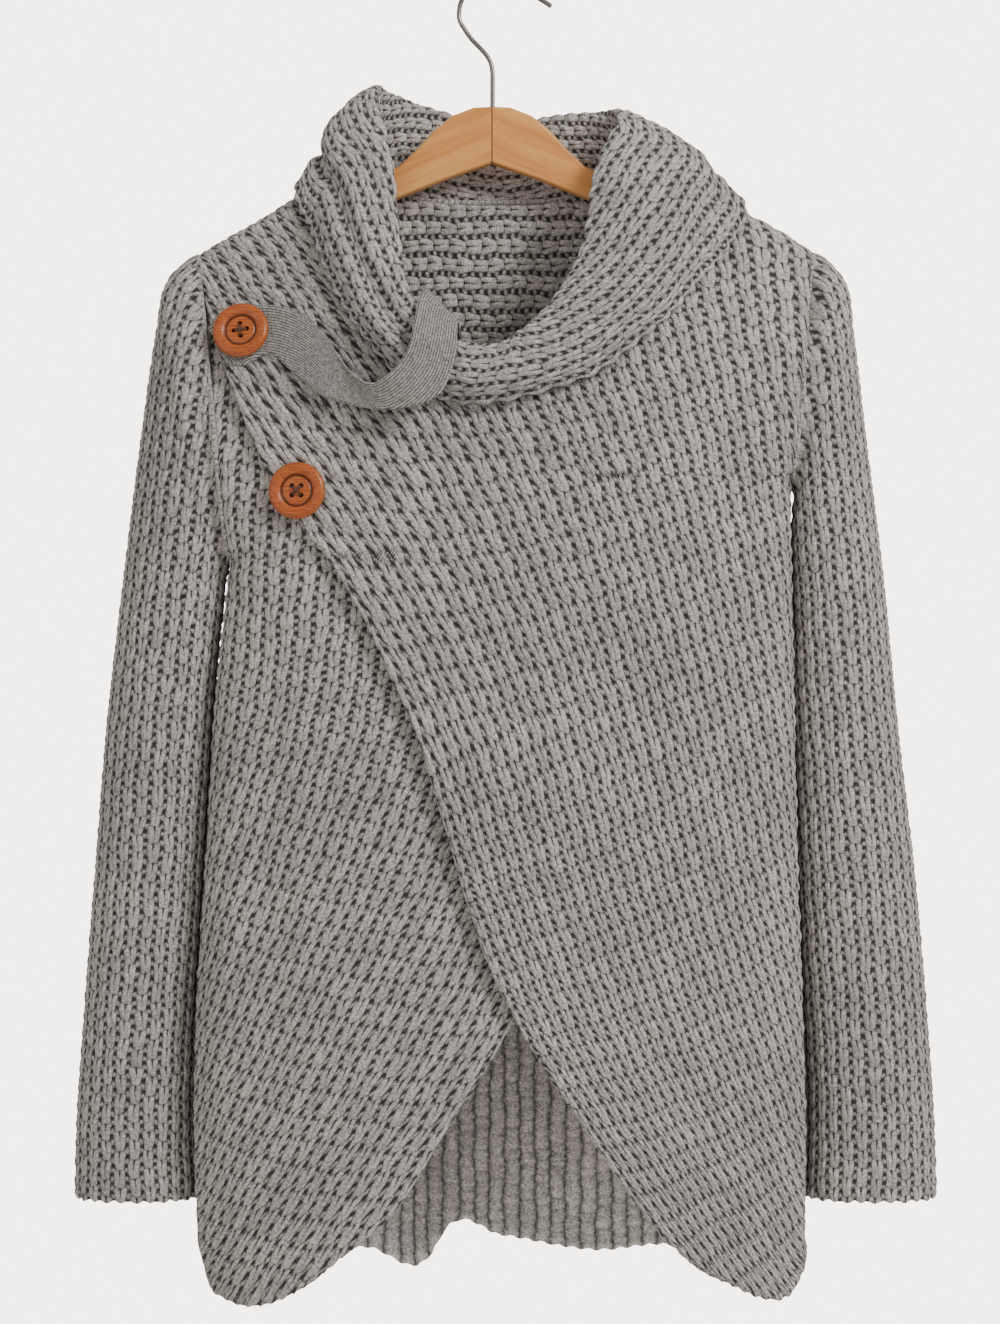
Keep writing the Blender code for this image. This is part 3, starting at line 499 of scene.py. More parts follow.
def upper_edge(neck, lower, u):
    """Shoulder ridge with the neck seam let into it."""
    start, end = ARMHOLE[-1][0], ARMHOLE[1][0]
    x = start + (end - start) * spread(u)
    z = ridge(x) - lower
    inside = (x > neck[0][0]) & (x < neck[-1][0])
    return across_edge(x, np.where(inside, np.minimum(curve(neck, x) - lower / 3, z), z))


def lower_edge(table, u):
    """A panel's lower edge, from its left side to its right side."""
    x = table[0][0] + (table[-1][0] - table[0][0]) * spread(u)
    return across_edge(x, curve(table, x))


def side_edge(side, top_z, low_z, rows, v):
    """Armhole and side seam, with a point at the armpit where the edge reaches it."""
    pit_z = ARMHOLE[side][3]
    pit_share = (round(PIT_ROWS[side] * rows) / rows) ** ROW_CROWDING
    z = top_z + (low_z - top_z) * v
    if low_z < pit_z:
        z = np.interp(v, [0, pit_share, 1], [top_z, pit_z, low_z])
    return np.full(len(z), float(side)), z


def panel_grid(neck, table, lower, rows, cols):
    """Place and z over a panel, as a patch between its four edges."""
    v = (np.arange(rows + 1) / rows) ** ROW_CROWDING
    u = np.arange(cols + 1) / cols
    sides = [side_edge(side, float(ridge(ARMHOLE[side][0])) - lower, table[end][1], rows, v)
             for side, end in ((-1, 0), (1, -1))]
    v, u = v[:, None], u[None, :]
    patch = []
    ends = upper_edge(neck, lower, u[0]), lower_edge(table, u[0])
    for upper, under, left, right in zip(*ends, *sides):
        ruled = (1 - v) * upper + v * under
        sided = (1 - u) * left[:, None] + u * right[:, None]
        corners = (1 - v) * ((1 - u) * upper[0] + u * upper[-1])
        corners = corners + v * ((1 - u) * under[0] + u * under[-1])
        patch.append(ruled + sided - corners)
    return patch


# Collar
def loop_smooth(values, count):
    """A smooth closed curve through a table's rows, read at even steps."""
    values = np.asarray(values, dtype=float)
    n = len(values)
    at = np.arange(count) * n / count
    cell = np.floor(at).astype(int)
    t = (at - cell).reshape((-1,) + (1,) * (values.ndim - 1))
    before, here, after, later = (values[(cell + k) % n] for k in (-1, 0, 1, 2))
    return between_points(t, 1.0, here, after, (after - before) / 2, (later - here) / 2)


def rounded(line, passes):
    """A line of points with its bends rounded off and its ends kept."""
    for _ in range(passes):
        line[1:-1] = (line[:-2] + 2 * line[1:-1] + line[2:]) / 4
    return line


def open_smooth(values, count, passes):
    """A smooth open curve along a few points, rounded off and read at even steps of length."""
    values = np.asarray(values, dtype=float)
    fine = np.linspace(0, len(values) - 1, 20 * len(values))
    line = rounded(smooth(np.arange(len(values), dtype=float), values, fine), passes)
    length = way_along(line)
    at = np.linspace(0, length[-1], count)
    return np.stack([np.interp(at, length, line[:, k]) for k in range(3)], axis=-1)


def over_body(x, drop, lift):
    """A point that lies off the body's face, by its signed drop below the shoulder ridge."""
    face = 1 if drop >= 0 else -1
    z = float(ridge(x)) - abs(drop)
    away = body_normal(x, min(z, float(ridge(x)) - 1.0), face)
    near = np.clip(abs(drop) / RIDGE_RADIUS, 0, 1)
    away = unit(away * near + UP * (1 - near))
    return body_point(x, z, face) + away * (lift + RIDGE_LIFT * (1 - near))


def collar_rings(cols):
    """Seam, roll, bulge and free edge of the collar round the neck."""
    face, seam_x, edge_x, edge_z = (column(COLLAR, k) for k in (0, 1, 8, 9))
    on_ridge = face == 0
    seam_z = np.where(face > 0, curve(NECK_FRONT, seam_x), curve(NECK_BACK, seam_x))
    seam_z = np.where(on_ridge, ridge(seam_x), seam_z)
    away = unit(np.stack([seam_x, seam_z], axis=-1) - NECK_CENTRE)
    away[on_ridge] = np.sign(seam_x[on_ridge])[:, None] * np.array([[1.0, 0.0]])
    seam_x = seam_x + SEAM_LAP * away[:, 0]
    seam_z = np.where(on_ridge, ridge(seam_x), seam_z + SEAM_LAP * away[:, 1])
    lines = []
    for x, z, lift in ((seam_x, seam_z, SEAM_LIFT), (edge_x, edge_z, WALL + FALL_SPACE)):
        places = loop_smooth(np.stack([x, face * (ridge(x) - z)], axis=-1), cols)
        lines.append(np.array([over_body(at, drop, lift) for at, drop in places]))
    rounds = loop_smooth([row[2:8] for row in COLLAR], cols)
    return lines[0], rounds[:, :3], rounds[:, 3:], lines[1]


# Buttons
def button_seat(x, z, stack):
    """Middle of a button's back where it lies on the cloth, and the direction it faces."""
    normal = body_normal(x, z, 1)
    angle = even_turns(24)
    rim = body_point(x + BUTTON_FOOT * np.cos(angle), z + BUTTON_FOOT * np.sin(angle), 1)
    centre = body_point(x, z, 1)
    rise = np.max((rim - centre) @ normal)
    return centre + normal * (stack + max(rise, 0)), normal


# Hanger and hook
def hanger_outline():
    """Closed outline of the wooden hanger, right half and its mirror."""
    tip, bend = HANGER_HALF, HANGER_HALF - HANGER_TIP
    top_end = HANGER_TOP[-1][1] - ARM_TOP_SLOPE * (bend - HANGER_TOP[-1][0])
    low_end = HANGER_BOTTOM[-1][1] - ARM_BOTTOM_SLOPE * (bend - HANGER_BOTTOM[-1][0])
    middle = (top_end + low_end) / 2
    upper = [(bend, top_end), (tip - 2, top_end - 3.5), (tip, middle - 1)]
    right = [*HANGER_TOP, *upper, (tip - 2, low_end + 1), (bend, low_end), *HANGER_BOTTOM[::-1]]
    return right + [(-x, z) for x, z in right[::-1] if x > 0]


def hook_route():
    """Wire from the loose tip over the hook's arc and down the stem."""
    turns = [math.radians(degrees) for degrees in range(55, 181, 14)]
    arc = [(HOOK_RADIUS * math.cos(turn), HOOK_CENTRE_Z + HOOK_RADIUS * math.sin(turn)) for turn in turns]
    return [*HOOK_TIP, *arc, *HOOK_NECK, (STEM_X, HANGER_TOP[0][1] - STEM_DEPTH)]


# Knit stitches
def wale_of(x, z, table):
    """Rib number at a place of a front, from the table of every eighth rib."""
    lines = [curve(table, z, 0, k) for k in range(1, len(table[0]))]
    number = WALE_STEP * (x - lines[0]) / (lines[1] - lines[0])
    for k in range(1, len(lines) - 1):
        beyond = WALE_STEP * (k + (x - lines[k]) / (lines[k + 1] - lines[k]))
        number = np.where(x > lines[k], beyond, number)
    return number


def slant_of(x, z, table, start):
    """How much higher a course lies at a place than at x = start, as courses run square to ribs."""
    step = 2.0
    across = np.arange(-300.0, 320.0, 5.0)
    heights = np.arange(-900.0, -80.0, 10.0)
    flat_x, flat_z = np.meshgrid(across, heights)
    rise = wale_of(flat_x, flat_z + step, table) - wale_of(flat_x, flat_z - step, table)
    run = wale_of(flat_x + step, flat_z, table) - wale_of(flat_x - step, flat_z, table)
    total = np.cumsum(rise / run, axis=1) * (across[1] - across[0])
    total -= total[:, [int(np.argmin(np.abs(across - start)))]]
    at_z, at_x = (np.clip((value - line[0]) / (line[1] - line[0]), 0, len(line) - 1.001)
                  for value, line in ((z, heights), (x, across)))
    i, j = at_z.astype(int), at_x.astype(int)
    u, v = at_x - j, at_z - i
    low, high = (total[row, j] * (1 - u) + total[row, j + 1] * u for row in (i, i + 1))
    return low * (1 - v) + high * v


def uneven(a, b, phase):
    """Soft wandering of the stitches, in stitches, from two lengths in millimetres."""
    first = np.sin(a * 0.131 + b * 0.047 + phase) + np.sin(b * 0.173 - a * 0.061 + 2 * phase)
    second = np.sin(a * 0.29 + b * 0.21 + 3 * phase) + np.sin(b * 0.37 - a * 0.33 + 5 * phase)
    return UNEVEN * (first + 0.6 * second)


def gaps_of(points, axis=0):
    """Lengths of the steps between neighbouring points."""
    return np.linalg.norm(np.diff(points, axis=axis), axis=-1)


def gaps_round(grid):
    """Lengths of the steps round each closed row of a grid."""
    return np.linalg.norm(np.roll(grid, -1, axis=1) - grid, axis=-1)


def way_along(points):
    """Length of the way along a line of points up to each of them, or the mean way along a grid."""
    steps = gaps_of(points).reshape(len(points) - 1, -1).mean(axis=1)
    return np.concatenate([[0], np.cumsum(steps)])


def extra_length(grid, axis, start):
    """How much longer the way along a grid is than it looks from the front, from its start index."""
    steps = np.diff(grid, axis=axis)
    longer = gaps_of(grid, axis) - np.hypot(steps[..., 0], steps[..., 2])
    total = np.cumsum(longer, axis=axis)
    total = np.concatenate([np.zeros_like(np.take(total, [0], axis=axis)), total], axis=axis)
    return total - np.take(total, [start], axis=axis)


def knit_height(wale, course, plain=0.0):
    """Relief of the knit from 0 to 1: round ribs of ovals, each rib half a stitch below the one before."""
    rib = np.round(wale)
    along = course + 0.5 * (rib % 2)
    along = along - np.round(along)
    round_rib = np.sqrt(np.clip(1 - (2 * (wale - rib)) ** 2, 0, 1))
    swell = 1 - OVAL + OVAL * np.cos(2 * math.pi * (along + OVAL_SHIFT))
    swell = swell + plain * (PLAIN_HEIGHT - swell)
    bridge = BRIDGE * (0.5 + 0.5 * np.cos(4 * math.pi * along)) * (1 - plain)
    return np.maximum(round_rib * swell, bridge)


def rim_fall(distance):
    """How much the wall thins out towards its edge."""
    return RIM_FALL * np.clip(1 - distance / RIM_WIDTH, 0, 1) ** 2


def knit_faces(grid, normals, wale, course, beads, distance):
    """Outer face, inner face and stitch numbers of knit over a grid, thicker and beaded at its edge."""
    reach = EDGE_SCALLOP * np.cos(2 * math.pi * beads) * np.exp(-distance / EDGE_REACH)
    grid = grid + reach[..., None] * unit(grid[-1] - grid[-2])
    height = knit_height(wale, course)
    border = ease((EDGE_WIDTH + 1.5 - distance) / 3.0)
    relief = RELIEF * height - SUNK + EDGE_BEAD * border * height - rim_fall(distance)
    stitch = np.stack([wale, course, np.zeros_like(wale)], axis=-1)
    return grid + normals * relief[..., None], grid - WALL * normals, stitch


# Making meshes
def add_vectors(mesh, name, values, domain="POINT"):
    """Keeps three numbers for each point or face corner, which the material reads."""
    layer = mesh.attributes.new(name, "FLOAT_VECTOR", domain)
    layer.data.foreach_set("vector", np.asarray(values, dtype=np.float32).reshape(-1))


def corner_marks(mesh, marks, turns):
    """Stitch numbers of the face corners, with those past a whole turn of stitches counted on."""
    corners = np.zeros(len(mesh.loops), dtype=np.int32)
    mesh.loops.foreach_get("vertex_index", corners)
    starts = np.zeros(len(mesh.polygons), dtype=np.int32)
    mesh.polygons.foreach_get("loop_start", starts)
    values = np.asarray(marks)[corners]
    highest = np.repeat(np.maximum.reduceat(values[:, 1], starts), np.diff([*starts, len(corners)]))
    values[:, 1] += turns * (highest - values[:, 1] > turns / 2)
    return values


def add_object(name, data):
    """A new object in the scene."""
    obj = bpy.data.objects.new(name, data)
    bpy.context.scene.collection.objects.link(obj)
    return obj


def finish_mesh(name, points, faces, material, stitch=None, turns=None):
    """A named, smooth piece from points in millimetres."""
    mesh = bpy.data.meshes.new(name)
    mesh.from_pydata((np.asarray(points) * MM).tolist(), [], faces)
    work = bmesh.new()
    work.from_mesh(mesh)
    bmesh.ops.recalc_face_normals(work, faces=work.faces)
    work.to_mesh(mesh)
    work.free()
    if turns is not None:
        add_vectors(mesh, "stitch", corner_marks(mesh, stitch, turns), "CORNER")
    elif stitch is not None:
        add_vectors(mesh, "stitch", stitch)
    mesh.shade_smooth()
    mesh.materials.append(material)
    obj = add_object(name, mesh)
    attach(obj, "root")
    return obj


def quads(ids):
    """Faces of a grid of point numbers."""
    corners = np.stack([ids[:-1, :-1], ids[:-1, 1:], ids[1:, 1:], ids[1:, :-1]], axis=-1)
    return corners.reshape(-1, 4).tolist()


def strip(first, second, ratio):
    """Faces between a fine row of points and a coarse one."""
    if ratio == 1:
        return [[first[k], first[k + 1], second[k + 1], second[k]] for k in range(len(first) - 1)]
    faces = []
    for k in range(len(second) - 1):
        start = k * ratio
        half = start + ratio // 2
        for j in range(start, start + ratio):
            faces.append([first[j], first[j + 1], second[k] if j < half else second[k + 1]])
        faces.append([second[k], first[half], second[k + 1]])
    return faces


def cloth(name, outer, inner, stitch, material, ratio=COARSE, closed=False,
          inside=None, turns=None):
    """A wall of knit between a fine outer grid and an inner one, with the stitches of both faces."""
    inside = stitch if inside is None else inside
    coarse = inner[::ratio, ::ratio]
    points = np.concatenate([outer.reshape(-1, 3), coarse.reshape(-1, 3)])
    marks = np.concatenate([stitch.reshape(-1, 3), inside[::ratio, ::ratio].reshape(-1, 3)])
    fine = np.arange(outer.shape[0] * outer.shape[1]).reshape(outer.shape[:2])
    plain = fine.size + np.arange(coarse.shape[0] * coarse.shape[1]).reshape(coarse.shape[:2])
    if closed:
        fine = np.concatenate([fine, fine[:, :1]], axis=1)
        plain = np.concatenate([plain, plain[:, :1]], axis=1)
    faces = quads(fine) + quads(plain[:, ::-1])
    fine, plain = fine.tolist(), plain.tolist()
    faces += strip(fine[0], plain[0], ratio) + strip(fine[-1], plain[-1], ratio)
    if not closed:
        for k in (0, -1):
            faces += strip([row[k] for row in fine], [row[k] for row in plain], ratio)
    return finish_mesh(name, points, faces, material, marks, turns)


# Panels
def back_inside(inner, normals, wale, course, distance, z):
    """The back's inner face with its own relief: courses across at the neck and plain ribs below."""
    high = ease((z - INSIDE_TURN + 20) / 40)
    in_wale = np.where(high > 0.5, course, wale + 0.5)
    in_course = np.where(high > 0.5, wale, 1.6 * course)
    height = knit_height(in_wale, in_course, 1 - high)
    inner = inner - normals * (INSIDE_RELIEF * RELIEF * (height - 0.5) - rim_fall(distance))[..., None]
    # The third stitch number marks the plain ribs, which the material shapes and also paints lighter as
    # painted light
    return inner, np.stack([in_wale, in_course, 1 - high], axis=-1)


def make_panel(name, face, neck, bottom_table, grid_size, inset, wales, material):
    """A front or the back: its grid on the body, its knit relief and its wall."""
    cols, rows = grid_size
    place, z = panel_grid(neck, bottom_table, UNDER_DROP if inset else 0.0, rows, cols)
    x = x_of(place, z)
    edge = np.stack([x[-1], z[-1]], axis=-1)
    level = np.abs(np.diff(x[-1])) / np.maximum(gaps_of(edge), 1e-6)
    level = np.concatenate([level[:1], level])
    distance = np.abs(z - z[-1:]) * level[None, :]
    grid = body_point(x, z, face)
    normals = body_normal(x, np.minimum(z, ridge(x) - 1), face)
    near = ease((ridge(x) - z) / RIDGE_RADIUS)[..., None]
    normals = unit(normals * near + UP * (1 - near))
    for j, side in ((0, -1), (-1, 1)):
        normals[z[:, j] < ARMHOLE[side][3] - 0.01, j] = (side, 0, 0)
    if inset:
        edge_x = curve(OVER_EDGE, z, 1, 0)
        grid = grid - normals * (LAYER_SPACE * ease((x - edge_x + UNDER_LEAD) / UNDER_RUN))[..., None]
    elif face > 0:
        lift = EDGE_LIFT * np.exp(-(distance / EDGE_LIFT_WIDTH) ** 2)
        grid = grid + normals * (lift * ease((EDGE_LIFT_TOP - z) / EDGE_LIFT_RUN))[..., None]
    middle = cols // 2
    aside = np.abs(extra_length(grid, 1, middle))
    aside = np.where(np.arange(cols + 1)[None, :] > middle, aside, -aside)
    down = extra_length(grid, 0, rows // 2) - z
    if wales is None:
        wale = (x - CENTRE_X + aside) / WALE
        course = down / COURSE
    else:
        wale = wale_of(x, z, wales) + aside / WALE
        course = (down - slant_of(x, z, wales, UNDER_START if inset else OVER_START)) / COURSE
    wale = wale + uneven(x, z, 1.0)
    course = course + uneven(x, z, 2.0)
    beads = wale[-1] if wales is None else way_along(edge) / EDGE_PITCH
    outer, inner, stitch = knit_faces(grid, normals, wale, course, beads, distance)
    inside, ratio = stitch, COARSE
    if face < 0:
        ratio = 1
        inner, inside = back_inside(inner, normals, wale, course, distance, z)
    for wall in (outer, inner):
        wall[..., 1] = -face * np.maximum(-face * wall[..., 1], SEAM_GAP / 2)
    return cloth(name, outer, inner, stitch, material, ratio=ratio, inside=inside)


# Sleeves
def make_sleeve(name, side, table, material):
    """A tube from the armhole to the cuff, its ribs running along its outer line."""
    cols, rows = SLEEVE_GRID
    angle = even_turns(cols)
    along = (1 - np.cos(angle)) / 2
    front = angle <= math.pi
    top_x, top_z, pit_x, pit_z = ARMHOLE[side]
    z = top_z + (pit_z - top_z) * along
    x = armhole_x(z, side)
    depth = np.where(front, -body_depth(x, z, 1), body_depth(x, z, -1))
    rings = [np.stack([x + side * SEAM_GAP, depth, z], axis=-1)]
    bulge = np.abs(np.sin(angle)) ** (2 / SLEEVE_ROUNDNESS)
    for outer_x, outer_z, inner_x, inner_z, fore, aft, mid_y in table:
        inner_x -= side * SLEEVE_CLOSE[side] * ease((pit_z - inner_z) / SLEEVE_CLOSE_RUN)
        ring_x = outer_x + (inner_x - outer_x) * along
        ring_z = outer_z + (inner_z - outer_z) * along
        rings.append(np.stack([ring_x, mid_y + bulge * np.where(front, -fore, aft), ring_z], axis=-1))
    rings = np.array(rings)
    keys = way_along(rings)
    at = np.linspace(0, keys[-1], rows + 1)
    grid = smooth(keys, rings, at)
    normals = grid_normals(grid, -side, True)
    normals[0, :, 0] = 0
    normals[0] = unit(normals[0])
    one_way = np.cumsum(gaps_round(grid), axis=1)[:, :-1]
    one_way = np.concatenate([np.zeros((rows + 1, 1)), one_way], axis=1)
    aside = np.abs(grid[..., 0] - smooth(grid[:, 0, 2], grid[:, 0, 0], grid[..., 2]))
    deep = np.abs(grid[..., 1] - grid[:, :1, 1])
    turned = np.where(along[None, :] < 0.5, deep, 2 * deep.max(axis=1, keepdims=True) - deep)
    wale = np.where(front, 1, -1)[None, :] * (aside + TURN_SHARE * turned) / WALE
    wale = wale + uneven(one_way, grid[..., 2], 3.0)
    course = -grid[..., 2] / COURSE + uneven(one_way, grid[..., 2], 4.0)
    distance = (keys[-1] - at)[:, None] * np.ones((1, cols))
    outer, inner, stitch = knit_faces(grid, normals, wale, course, wale[-1], distance)
    return cloth(name, outer, inner, stitch, material, closed=True)


# Collar
def make_collar(name, material):
    """The folded cowl: from the neck seam up to the roll and down to its free edge."""
    cols, rows = COLLAR_GRID
    lines = []
    for seam, roll, bulge, edge in zip(*collar_rings(cols)):
        hang = bulge * 0.45 + edge * 0.55
        hang[1] += 0.12 * (bulge[1] - edge[1])
        stops = [seam, (seam + roll) / 2, roll, bulge, hang, edge]
        lines.append(open_smooth(stops, rows + 1, ROLL_ROUNDING))
    grid = np.array(lines).transpose(1, 0, 2)
    normals = grid_normals(grid, 1, True)
    outward = grid[-3, :, :2] - np.array([NECK_CENTRE[0], 0.0])
    if np.mean(np.sum(outward * normals[-3, :, :2], axis=-1)) < 0:
        normals = -normals
    for _ in range(12):
        normals = normals + np.roll(normals, 1, axis=1) + np.roll(normals, -1, axis=1)
        normals[1:-1] += 0.5 * (normals[:-2] + normals[2:])
        normals = unit(normals)
    down = np.concatenate([np.zeros((1, cols)), np.cumsum(gaps_of(grid), axis=0)])
    turns = round(float(gaps_round(grid).sum(axis=1).mean()) / COURSE)
    around = np.arange(cols)[None, :] / cols
    course = around * turns + uneven(grid[..., 0], down, 6.0)
    wale = (down - down[-1:]) / WALE + uneven(grid[..., 0], down, 5.0)
    distance = down[-1:] - down
    for start, end, far, half, depth in COLLAR_FOLDS:
        ends = ease((around - start) / COLLAR_FOLD_RUN) * ease((end - around) / COLLAR_FOLD_RUN)
        grid = grid - normals * (depth * ends * np.exp(-((distance - far) / half) ** 2))[..., None]
    outer, inner, stitch = knit_faces(grid, normals, wale, course, around[0] * turns, distance)
    return cloth(name, outer, inner, stitch, material, closed=True, turns=turns)


# Strap
def make_strap(name, material):
    """The fine jersey strap, a flat band through its two edges."""
    along, wide = STRAP_GRID
    at = np.linspace(0, len(STRAP) - 1, along + 1)
    table = smooth(np.arange(len(STRAP), dtype=float), np.array(STRAP, dtype=float), at)
    up_x, up_z, low_x, low_z, lift = (values[:, None] for values in table.T)
    across = np.linspace(0, 1, wide + 1)[None, :]
    x = up_x + (low_x - up_x) * across
    z = up_z + (low_z - up_z) * across
    grid = np.stack([x, -(body_depth(x, z, 1) + lift + STRAP_WALL), z], axis=-1)
    normals = grid_normals(grid, 1, False)
    if np.mean(normals[: along // 3, :, 1]) > 0:
        normals = -normals
    course = way_along(grid)[:, None] / JERSEY_COURSE * np.ones((1, wide + 1))
    wale = across * np.linalg.norm(grid[:, -1] - grid[:, 0], axis=-1)[:, None] / JERSEY_WALE
    # The band's edges are folded under, so it is thicker just inside them and falls away at the rim
    fold = sum(STRAP_FOLD * np.exp(-((across - middle) / 0.05) ** 2) for middle in (0.06, 0.94))
    outer = grid + normals * (fold - STRAP_RIM * (np.abs(across - 0.5) > 0.49))[..., None]
    stitch = np.stack([wale, course, np.zeros_like(wale)], axis=-1)
    return cloth(name, outer, grid - STRAP_WALL * normals, stitch, material)


# Buttons and their thread
def as_mesh(obj, degrees):
    """Applies an object's modifiers and shades it smooth up to an angle between faces."""
    bpy.context.view_layer.update()
    mesh = bpy.data.meshes.new_from_object(obj.evaluated_get(bpy.context.evaluated_depsgraph_get()))
    obj.modifiers.clear()
    obj.data = mesh
    mesh.shade_smooth()
    mesh.set_sharp_from_angle(angle=math.radians(degrees))


def capped(ids, first_tip, last_tip):
    """Faces of a closed tube of point numbers, with a fan over either end."""
    closed = np.concatenate([ids, ids[:, :1]], axis=1)
    faces = quads(closed)
    for row, tip in ((closed[0], first_tip), (closed[-1], last_tip)):
        faces += [[int(row[k]), int(row[k + 1]), tip] for k in range(len(row) - 1)]
    return faces


def make_button(name, node, place, stack, first_hole, material):
    """A turned wooden button with a dished middle and four holes."""
    seat, normal = button_seat(*place, stack)
    last = len(BUTTON_PROFILE) - 1
    at = np.linspace(0, last, 4 * last + 1)
    radius, height = (rounded(np.interp(at, np.arange(last + 1), column(BUTTON_PROFILE, k)), 3)
                      for k in (0, 1))
    turn = even_turns(BUTTON_STEPS)
    radii = radius[1:-1, None]
    rings = np.broadcast_arrays(radii * np.cos(turn), radii * np.sin(turn), height[1:-1, None])
    rings = np.stack(rings, axis=-1)
    points = [*rings.reshape(-1, 3).tolist(), [0, 0, height[0]], [0, 0, height[-1]]]
    ids = np.arange(rings.shape[0] * BUTTON_STEPS).reshape(-1, BUTTON_STEPS)
    faces = capped(ids, len(points) - 2, len(points) - 1)
    button = finish_mesh(name, points, faces, material)
    drill = bpy.data.meshes.new(f"{name}_drill")
    work = bmesh.new()
    bmesh.ops.create_cone(work, cap_ends=True, segments=24, radius1=HOLE_RADIUS * MM,
                          radius2=HOLE_RADIUS * MM, depth=DRILL_LENGTH * MM)
    work.to_mesh(drill)
    work.free()
    cutters = [add_object(f"{name}_drill_{k}", drill) for k in range(4)]
    for k, cutter in enumerate(cutters):
        angle = math.radians(first_hole + 90 * k)
        cutter.location = (HOLE_REACH * math.cos(angle) * MM, HOLE_REACH * math.sin(angle) * MM, 0)
        hole = button.modifiers.new(f"hole_{k}", "BOOLEAN")
        hole.operation = "DIFFERENCE"
        hole.object = cutter
    as_mesh(button, 40)
    for cutter in cutters:
        bpy.data.objects.remove(cutter, do_unlink=True)
    local = np.zeros(3 * len(button.data.vertices), dtype=np.float32)
    button.data.vertices.foreach_get("co", local)
    add_vectors(button.data, "turned", local / MM)
    aim = Vector(normal).to_track_quat("Z", "Y").to_matrix().to_4x4()
    placed = Matrix.Translation(Vector(seat) * MM) @ aim
    button.data.transform(placed)
    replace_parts(button, node)
    return placed


def make_neck_seam(name, material):
    """The seam yarn that closes the collar's join to the neckline."""
    seam = collar_rings(240)[0]
    make_tube(name, [np.concatenate([seam, seam[:1]])], SEAM_YARN, material, 12, 2.0 * SEAM_YARN)


def make_armhole_seam(name, side, material):
    """The rolled seam yarn that lies in the valley between a sleeve and the body."""
    turn = np.linspace(0, 2 * math.pi, 241)
    share = (1 - np.cos(turn)) / 2
    top_z, pit_z = ARMHOLE[side][1], ARMHOLE[side][3]
    z = top_z + (pit_z - top_z) * share - SEAM_YARN * (1 - share)
    x = armhole_x(z, side) + side * SEAM_GAP / 2
    fore, aft = (np.maximum(body_depth(x, z, face) - SEAM_SINK, SEAM_YARN / 2) for face in (1, -1))
    route = np.stack([x, np.where(turn <= math.pi, -fore, aft), z], axis=-1)
    make_tube(name, [route], SEAM_YARN, material, 12, 2.0 * SEAM_YARN)


def make_tube(name, routes, radius, material, sides, stitch_step=None):
    """Round yarn or wire along each of some routes, in one piece, with stitches where a step is given."""
    points, faces, marks = [], [], []
    turn = even_turns(sides)
    for route in routes:
        line = np.asarray(route, dtype=float)
        ways = unit(np.gradient(line, axis=0))
        side = unit(np.cross(ways, TUBE_SIDE))
        up = np.cross(ways, side)
        ring = side[:, None] * np.cos(turn)[:, None] + up[:, None] * np.sin(turn)[:, None]
        ids = len(points) + np.arange(len(line) * sides).reshape(-1, sides)
        points += (line[:, None] + radius * ring).reshape(-1, 3).tolist()
        points += [line[0].tolist(), line[-1].tolist()]
        way = way_along(line)[:, None] / (stitch_step or 1.0)
        mark = np.stack(np.broadcast_arrays(0.3 * np.sin(turn), way, 0.0), axis=-1)
        marks += mark.reshape(-1, 3).tolist() + [mark[0, 0].tolist(), mark[-1, 0].tolist()]
        faces += capped(ids, len(points) - 2, len(points) - 1)
    return finish_mesh(name, points, faces, material, marks if stitch_step else None)


def make_thread(name, placed, first_hole, material):
    """Sewing thread that crosses between a button's holes, three strands each way."""
    routes = []
    for k in range(2):
        angle = math.radians(first_hole + 90 * k)
        way = np.array([math.cos(angle), math.sin(angle)])
        for beside in (-THREAD_STEP, 0.0, THREAD_STEP):
            line = []
            for t in np.linspace(-1, 1, 15):
                x, y = way * HOLE_REACH * t + np.array([-way[1], way[0]]) * beside
                high = THREAD_HEIGHT + 0.5 * k - 3.2 * max(abs(t) - 0.78, 0) / 0.22
                point = Vector((x, y, high + 0.25 * math.cos(math.pi * t / 2)))
                line.append(list((placed @ (point * MM)) / MM))
            routes.append(line)
    make_tube(name, routes, THREAD_RADIUS, material, 8)


# Hanger and hook
def make_hanger(name, material):
    """The wooden bar: its outline, thickened and with its edges rounded."""
    mesh = bpy.data.meshes.new(name)
    work = bmesh.new()
    corners = [work.verts.new((x * MM, HANGER_THICKNESS / 2 * MM, z * MM)) for x, z in hanger_outline()]
    grown = bmesh.ops.extrude_face_region(work, geom=[work.faces.new(corners)])
    moved = [item for item in grown["geom"] if isinstance(item, bmesh.types.BMVert)]
    bmesh.ops.translate(work, verts=moved, vec=(0, -HANGER_THICKNESS * MM, 0))
    bmesh.ops.recalc_face_normals(work, faces=work.faces)
    work.to_mesh(mesh)
    work.free()
    mesh.materials.append(material)
    hanger = add_object(name, mesh)
    rounding = hanger.modifiers.new("rounding", "BEVEL")
    rounding.width = HANGER_ROUNDING * MM
    rounding.segments = 6
    rounding.limit_method = "ANGLE"
    rounding.angle_limit = math.radians(50)
    as_mesh(hanger, 30)
    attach(hanger, "root")
    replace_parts(hanger, "hanger")


def make_hook(name, material):
    """The steel wire, its bends rounded off."""
    line = open_smooth([(x, 0, z) for x, z in hook_route()], 150, 60)
    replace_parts(make_tube(name, [line], WIRE_RADIUS, material, 20), "hook")


